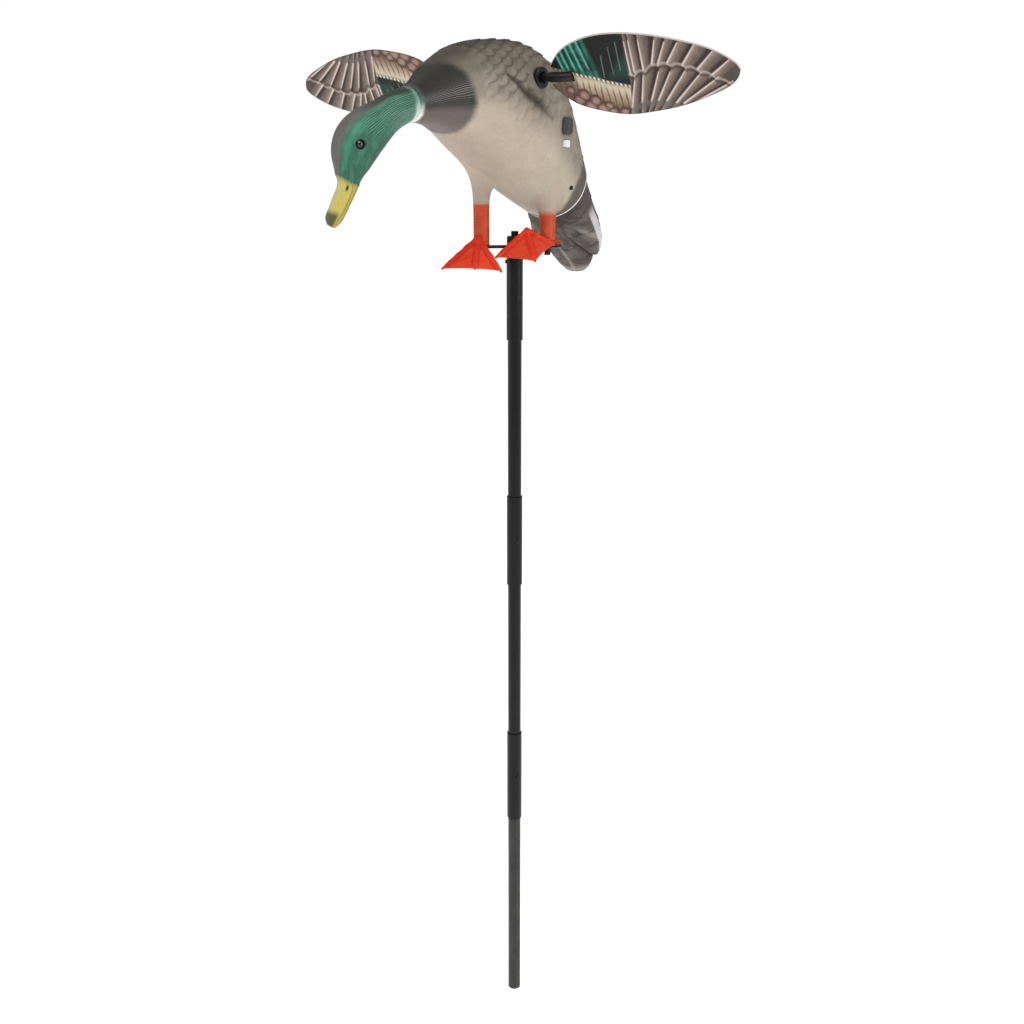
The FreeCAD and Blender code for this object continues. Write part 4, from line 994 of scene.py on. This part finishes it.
def wing_print(a, b, top, low):
    mottle = cloud(a / 8, b / 8, 91)
    line = np.interp(a, *zip(*SPECULUM))
    edge = np.interp(b, [-54, -40, -17, -11, 12, 41], [179, 191, 196, 198, 199, 203])
    lean = a + 0.16 * b
    paint = mix(inner_paint(a, b, lean, mottle, line - b), patch_paint(a, b, lean, mottle),
                smooth(b, line - 0.7, line + 0.7))
    paint = mix(paint, outer_paint(a, b), smooth(a, edge - 0.9, edge + 0.9))
    paint = coats(paint, ((186, 181, 177), 1 - smooth(top - b, 0.9, 1.9)),
                  ((70, 60, 55), (1 - smooth(b - low, 0.6, 1.4)) * 0.6))
    return gained(paint, 1 + 0.03 * noise(a / 0.9, b / 0.9, 93))


def build_wing(name, body_name, replaced, sense):
    """Thin blade with a notch at its root for the wing post, printed on its front only."""
    columns = np.unique(np.concatenate([
        np.linspace(86, NOTCH_SHOULDER, 8), np.linspace(NOTCH_SHOULDER, NOTCH_END, 9),
        np.linspace(NOTCH_END, 336, 400), WING_TIP - 6.5 * np.linspace(1, 0, 26)[:-1] ** 2, [WING_TIP - 0.05]]))
    top, low = outline(columns, TOP_EDGE), outline(columns, LOW_EDGE)
    top[columns < NOTCH_SHOULDER] = -NOTCH_HALF
    share = np.linspace(0, 1, 176)
    b = low[:, None] + (top - low)[:, None] * share
    a, top, low = (np.broadcast_to(column[:, None], b.shape) for column in (columns, top, low))
    notch = (a < NOTCH_END - 1e-6) & (np.abs(b) < NOTCH_HALF)
    b = np.where(notch, np.where(b > 0, NOTCH_HALF, -NOTCH_HALF), b)
    shafts = np.max([stroke(a, b, shaft, [0.6, 1.0]) for shaft in UPPER_SHAFTS + LOWER_SHAFTS], 0)
    border = np.minimum(np.minimum(top - b, b - low), WING_TIP - a)
    rounding = 0.3 * (1 - smooth(border, 0, 0.9))
    middle = np.array([0, *AXLE]) + (a * sense)[..., None] * np.array([1.0, 0, 0]) + (b * sense)[..., None] * CHORD
    front, flat, back = (middle + height[..., None] * WING_OUT for height in (
        WING_HALF + 0.18 * shafts - rounding, 0 * rounding, -WING_HALF + rounding))
    plain = coats((212, 207, 200), ((200, 194, 186), smooth(cloud(a / 14, b / 14, 97), -0.6, 0.8)))
    blade = Sheet()
    blade.add_grid(front, wing_print(a, b, top, low), keep=~notch, flip=True)
    blade.add_grid(back, gained(plain, 1 - 0.16 * shafts), keep=~notch)
    blade.add_grid(np.stack([side[:, -1] for side in (front, flat, back)], 0), colour(190, 184, 178))
    blade.add_grid(np.stack([side[:, 0] for side in (back, flat, front)], 0), colour(120, 108, 100))
    blade.add_grid(np.stack([side[-1] for side in (front, flat, back)], 0), colour(130, 118, 110), flip=True)
    blade.build(name, body_name, "wing_print", [replaced])


build_wing("left_wing_blade", "left_wing_set", "left_wing", 1)
build_wing("right_wing_blade", "right_wing_set", "right_wing", -1)

# ---------------------------------------------------------------- feet
PLATE_TOP = 1160.5
PLATE_BOTTOM = 1157.5
PLATE_DIRECTION = np.array([56.0, -72.0]) / math.hypot(56.0, 72.0)
PLATE_GAP = 0.3
BALL_SPACING = 1.1
KNUCKLES = {0.0: 3.6, 0.18: 3.1, 0.3: 3.9, 0.42: 3.0, 0.56: 3.5, 0.66: 2.7, 0.78: 3.1, 0.9: 2.3, 1.0: 1.9}
WEB_HALF = 1.25


def add_limb(blocks, spots, radii):
    """Chain of overlapping balls along a path."""
    for start, end, r0, r1 in zip(spots, spots[1:], radii, radii[1:]):
        count = max(2, int(np.linalg.norm(end - start) / BALL_SPACING))
        for s in np.linspace(0, 1, count):
            bmesh.ops.create_icosphere(blocks, subdivisions=2, radius=r0 * (1 - s) + r1 * s,
                                       matrix=Matrix.Translation(start * (1 - s) + end * s))


def add_web(blocks, ankle, first, second):
    """Closed slab of rippled web between two toes."""
    across = np.cross(first - ankle, second - ankle)
    across /= np.linalg.norm(across)
    if across[2] < 0:
        across = -across
    steps, spans = 26, 22
    layers = []
    for height in (WEB_HALF, -WEB_HALF):
        layer = []
        for i in range(steps + 1):
            s = i / steps
            for j in range(spans + 1):
                v = j / spans
                scallop = 1 - 0.035 * 4 * v * (1 - v)
                spot = ankle + ((first - ankle) * (1 - v) + (second - ankle) * v) * (0.03 + 0.97 * s * scallop)
                ripple = 0.55 * math.sin(s * 15 + 5 * v) * math.sin(math.pi * v) - 1.2 * s * math.sin(math.pi * v)
                layer.append(blocks.verts.new(Vector(spot + across * (height + ripple))))
        layers.append(layer)
    upper, lower = layers
    n = spans + 1
    for quad in grid_faces(steps + 1, n, False):
        blocks.faces.new([upper[k] for k in quad])
        blocks.faces.new([lower[k] for k in reversed(quad)])
    border = [*range(n), *(i * n + spans for i in range(1, steps + 1)),
              *(steps * n + j for j in range(spans - 1, -1, -1)), *(i * n for i in range(steps - 1, 0, -1))]
    for p, q in zip(border, border[1:] + border[:1]):
        blocks.faces.new((upper[q], upper[p], lower[p], lower[q]))


def remeshed(name, blocks):
    """Points, their normals and the faces of one smooth skin round the blocks."""
    parts = bpy.data.meshes.new(name + "_blocks")
    blocks.to_mesh(parts)
    rough = bpy.data.objects.new(name + "_rough", parts)
    bpy.context.scene.collection.objects.link(rough)
    remesh = rough.modifiers.new("skin", "REMESH")
    remesh.mode = "VOXEL"
    remesh.voxel_size = 0.75
    soften = rough.modifiers.new("soften", "SMOOTH")
    soften.factor = 0.5
    soften.iterations = 4
    bpy.context.view_layer.update()
    shaped = bpy.data.meshes.new_from_object(rough.evaluated_get(bpy.context.evaluated_depsgraph_get()))
    bpy.data.objects.remove(rough)
    points, normals = np.zeros((2, len(shaped.vertices) * 3), np.float32)
    shaped.vertices.foreach_get("co", points)
    shaped.vertices.foreach_get("normal", normals)
    corners = np.zeros(len(shaped.loops), np.int32)
    shaped.loops.foreach_get("vertex_index", corners)
    return points.reshape(-1, 3).astype(float), normals.reshape(-1, 3), corners.reshape(-1, 4)


def clear_of_neighbours(points, x0, t0):
    """Keeps the foot's points off the plate and off the leg above."""
    length = points[:, 0] * PLATE_DIRECTION[0] + points[:, 1] * PLATE_DIRECTION[1]
    width = -points[:, 0] * PLATE_DIRECTION[1] + points[:, 1] * PLATE_DIRECTION[0]
    over = (np.abs(length) < 65.4) & (np.abs(width) < 12.4)
    middle = (PLATE_TOP + PLATE_BOTTOM) / 2
    points[over & (points[:, 2] < PLATE_TOP + PLATE_GAP) & (points[:, 2] > middle - 4), 2] = PLATE_TOP + PLATE_GAP
    under_leg = (np.hypot(points[:, 0] - x0, points[:, 1] - t0) < LEG_R + 0.4) & (points[:, 2] > ANKLE_Z - 0.05)
    points[under_leg, 2] = ANKLE_Z - 0.05


def segment_gap(points, start, end):
    line = end - start
    t = np.clip((points - start) @ line / (line @ line), 0, 1)
    return np.linalg.norm(points - start - t[:, None] * line, axis=1)


def build_foot(name, replaced, leg, ankle, tips, spur, tint, web_tint):
    """Webbed foot worked as one skin: knuckled toes, claws and a rippled web."""
    x0, t0 = LEGS[leg]
    heel = np.array([x0, t0, (ANKLE_Z + PLATE_TOP) / 2])
    ankle, spur, *tips = (np.array(spot, float) for spot in (ankle, spur, *tips))
    blocks = bmesh.new()
    for tip in tips:
        add_limb(blocks, [ankle + (tip - ankle) * k for k in KNUCKLES], list(KNUCKLES.values()))
    add_limb(blocks, [heel, (heel + ankle) / 2, ankle], [4.2, 3.9, 4.0])
    add_limb(blocks, [heel, (heel + spur) / 2, spur], [3.4, 3.1, 2.0])
    for first, second in zip(tips, tips[1:]):
        add_web(blocks, ankle, first, second)
    pad = bmesh.ops.create_cone(blocks, cap_ends=True, segments=48, radius1=LEG_R, radius2=LEG_R,
                                depth=ANKLE_Z - PLATE_TOP - 0.3)
    bmesh.ops.translate(blocks, verts=pad["verts"], vec=Vector(heel))
    bmesh.ops.recalc_face_normals(blocks, faces=blocks.faces)
    points, normals, faces = remeshed(name, blocks)
    blocks.free()
    points = points + gained(normals, 0.22 * cloud(points[:, 0] / 3 + points[:, 2] / 4, points[:, 1] / 3, 101))
    clear_of_neighbours(points, x0, t0)
    mesh = make_mesh(name, to_row(points), faces[:, ::-1])
    reach = np.min([segment_gap(points, ankle, tip) for tip in tips], 0)
    tip_gap = np.min([np.linalg.norm(points - tip, axis=1) for tip in tips], 0)
    mottle = cloud(points[:, 0] / 7 + points[:, 2] / 9, points[:, 1] / 7, 103)
    paint = coats(tint, ((214, 76, 34), smooth(mottle, -0.3, 0.7) * 0.6), (web_tint, smooth(reach, 3.4, 6.5)),
                  ((190, 76, 44), 1 - smooth(tip_gap, 2.5, 5.0)),
                  # painted shade in the creases where the web meets each toe
                  ((150, 34, 14), hill(reach, 4.4, 1.2) * smooth(tip_gap, 3, 10) * 0.5))
    set_paint(mesh, gained(paint, 1 + 0.07 * mottle))
    settle(mesh, name, "decoy", "orange_vinyl", [replaced])


build_foot("right_webbed_foot", "right_foot", "right", (-22.5, 50, 1171.5),
           [(-62.7, 76.4, 1131.1), (-14.1, 67.5, 1132.8), (19.5, 54.3, 1130.3)], (-33, 20, 1164),
           (206, 52, 20), (212, 68, 32))
build_foot("left_webbed_foot", "left_foot", "left", (23.8, 5, 1181),
           [(-3.6, 36.2, 1146), (37.6, 4.5, 1141.3), (44, -29, 1161.5)], (39, -50, 1164),
           (208, 56, 22), (196, 66, 34))

# ---------------------------------------------------------------- finishes of the exact pieces
for piece in frame["record"]["subparts"]:
    mesh = frame["nodes"][piece["node"]].data
    mesh.materials.clear()
    mesh.materials.append(FINISHES[piece["material_slot"]])
frame["nodes"]["lower_stake_tube"].data.materials[0] = LOWER_STAKE_GREY

# ---------------------------------------------------------------- room, light and camera
FLOOR_HALF = 60
SKY_LIGHT = 0.38
SKY_SEEN = 1.02
LIGHT_CENTRE = Vector((0.0, 0.0, 1.28))
SENSOR = 36.0
FOCAL_PIXELS = 1197.5
PHOTO_PIXELS = 1024
CAMERA_PLACE = (0.996, -1.304, 1.2548)
CAMERA_PITCH = math.radians(15.85)
CAMERA_AZIMUTH = math.radians(37.5)
scene = bpy.context.scene


def floor_finish():
    n = Nodes("pale_floor")
    n.link(n.ramp(n.noise(3.0, 4.0), 0.7, 0.8), "Roughness")
    n.set(Base_Color=(0.9, 0.9, 0.9, 1), Specular_IOR_Level=0.1, Emission_Color=(1, 1, 1, 1),
          Emission_Strength=0.7)
    n.link(n.bump(n.noise(240.0, 3.0), 0.1, 0.0002), "Normal")
    return n.material


def build_floor():
    mesh = bpy.data.meshes.new("pale_floor")
    mesh.from_pydata([(x * FLOOR_HALF, y * FLOOR_HALF, 0) for x, y in ((-1, -1), (1, -1), (1, 1), (-1, 1))],
                     [], [(0, 1, 2, 3)])
    mesh.materials.append(floor_finish())
    floor = bpy.data.objects.new("pale_floor", mesh)
    scene.collection.objects.link(floor)


def set_sky():
    """Soft white sky, which the camera sees as plain white."""
    world = bpy.data.worlds.new("studio")
    world.use_nodes = True
    nodes, links = world.node_tree.nodes, world.node_tree.links
    sky = nodes["Background"]
    strength = nodes.new("ShaderNodeMapRange")
    links.new(nodes.new("ShaderNodeLightPath").outputs["Is Camera Ray"], strength.inputs["Value"])
    strength.inputs["To Min"].default_value = SKY_LIGHT
    strength.inputs["To Max"].default_value = SKY_SEEN
    links.new(strength.outputs["Result"], sky.inputs["Strength"])
    sky.inputs["Color"].default_value = (1, 1, 1, 1)
    scene.world = world


def soft_light(name, place, size, power):
    lamp = bpy.data.lights.new(name, "AREA")
    lamp.shape = "RECTANGLE"
    lamp.size, lamp.size_y = size
    lamp.energy = power
    lamp_object = bpy.data.objects.new(name, lamp)
    lamp_object.location = place
    lamp_object.rotation_euler = (LIGHT_CENTRE - Vector(place)).to_track_quat("-Z", "Y").to_euler()
    scene.collection.objects.link(lamp_object)


def set_camera():
    """Camera where the photograph was taken from."""
    camera = bpy.data.cameras.new("camera")
    camera.sensor_width = SENSOR
    camera.lens = SENSOR * FOCAL_PIXELS / PHOTO_PIXELS
    camera.clip_end = 100
    camera_object = bpy.data.objects.new("camera", camera)
    camera_object.location = CAMERA_PLACE
    level = math.cos(CAMERA_PITCH)
    view = Vector((-math.sin(CAMERA_AZIMUTH) * level, math.cos(CAMERA_AZIMUTH) * level, -math.sin(CAMERA_PITCH)))
    camera_object.rotation_euler = view.to_track_quat("-Z", "Y").to_euler()
    scene.collection.objects.link(camera_object)
    scene.camera = camera_object


build_floor()
set_sky()
soft_light("softbox_top", (0.9, -1.3, 3.4), (2.0, 2.0), 58)
soft_light("softbox_left", (2.6, 0.4, 2.0), (1.2, 2.2), 30)
soft_light("softbox_right", (-1.8, -2.2, 1.8), (1.2, 2.2), 22)
set_camera()
scene.view_settings.view_transform = "Standard"
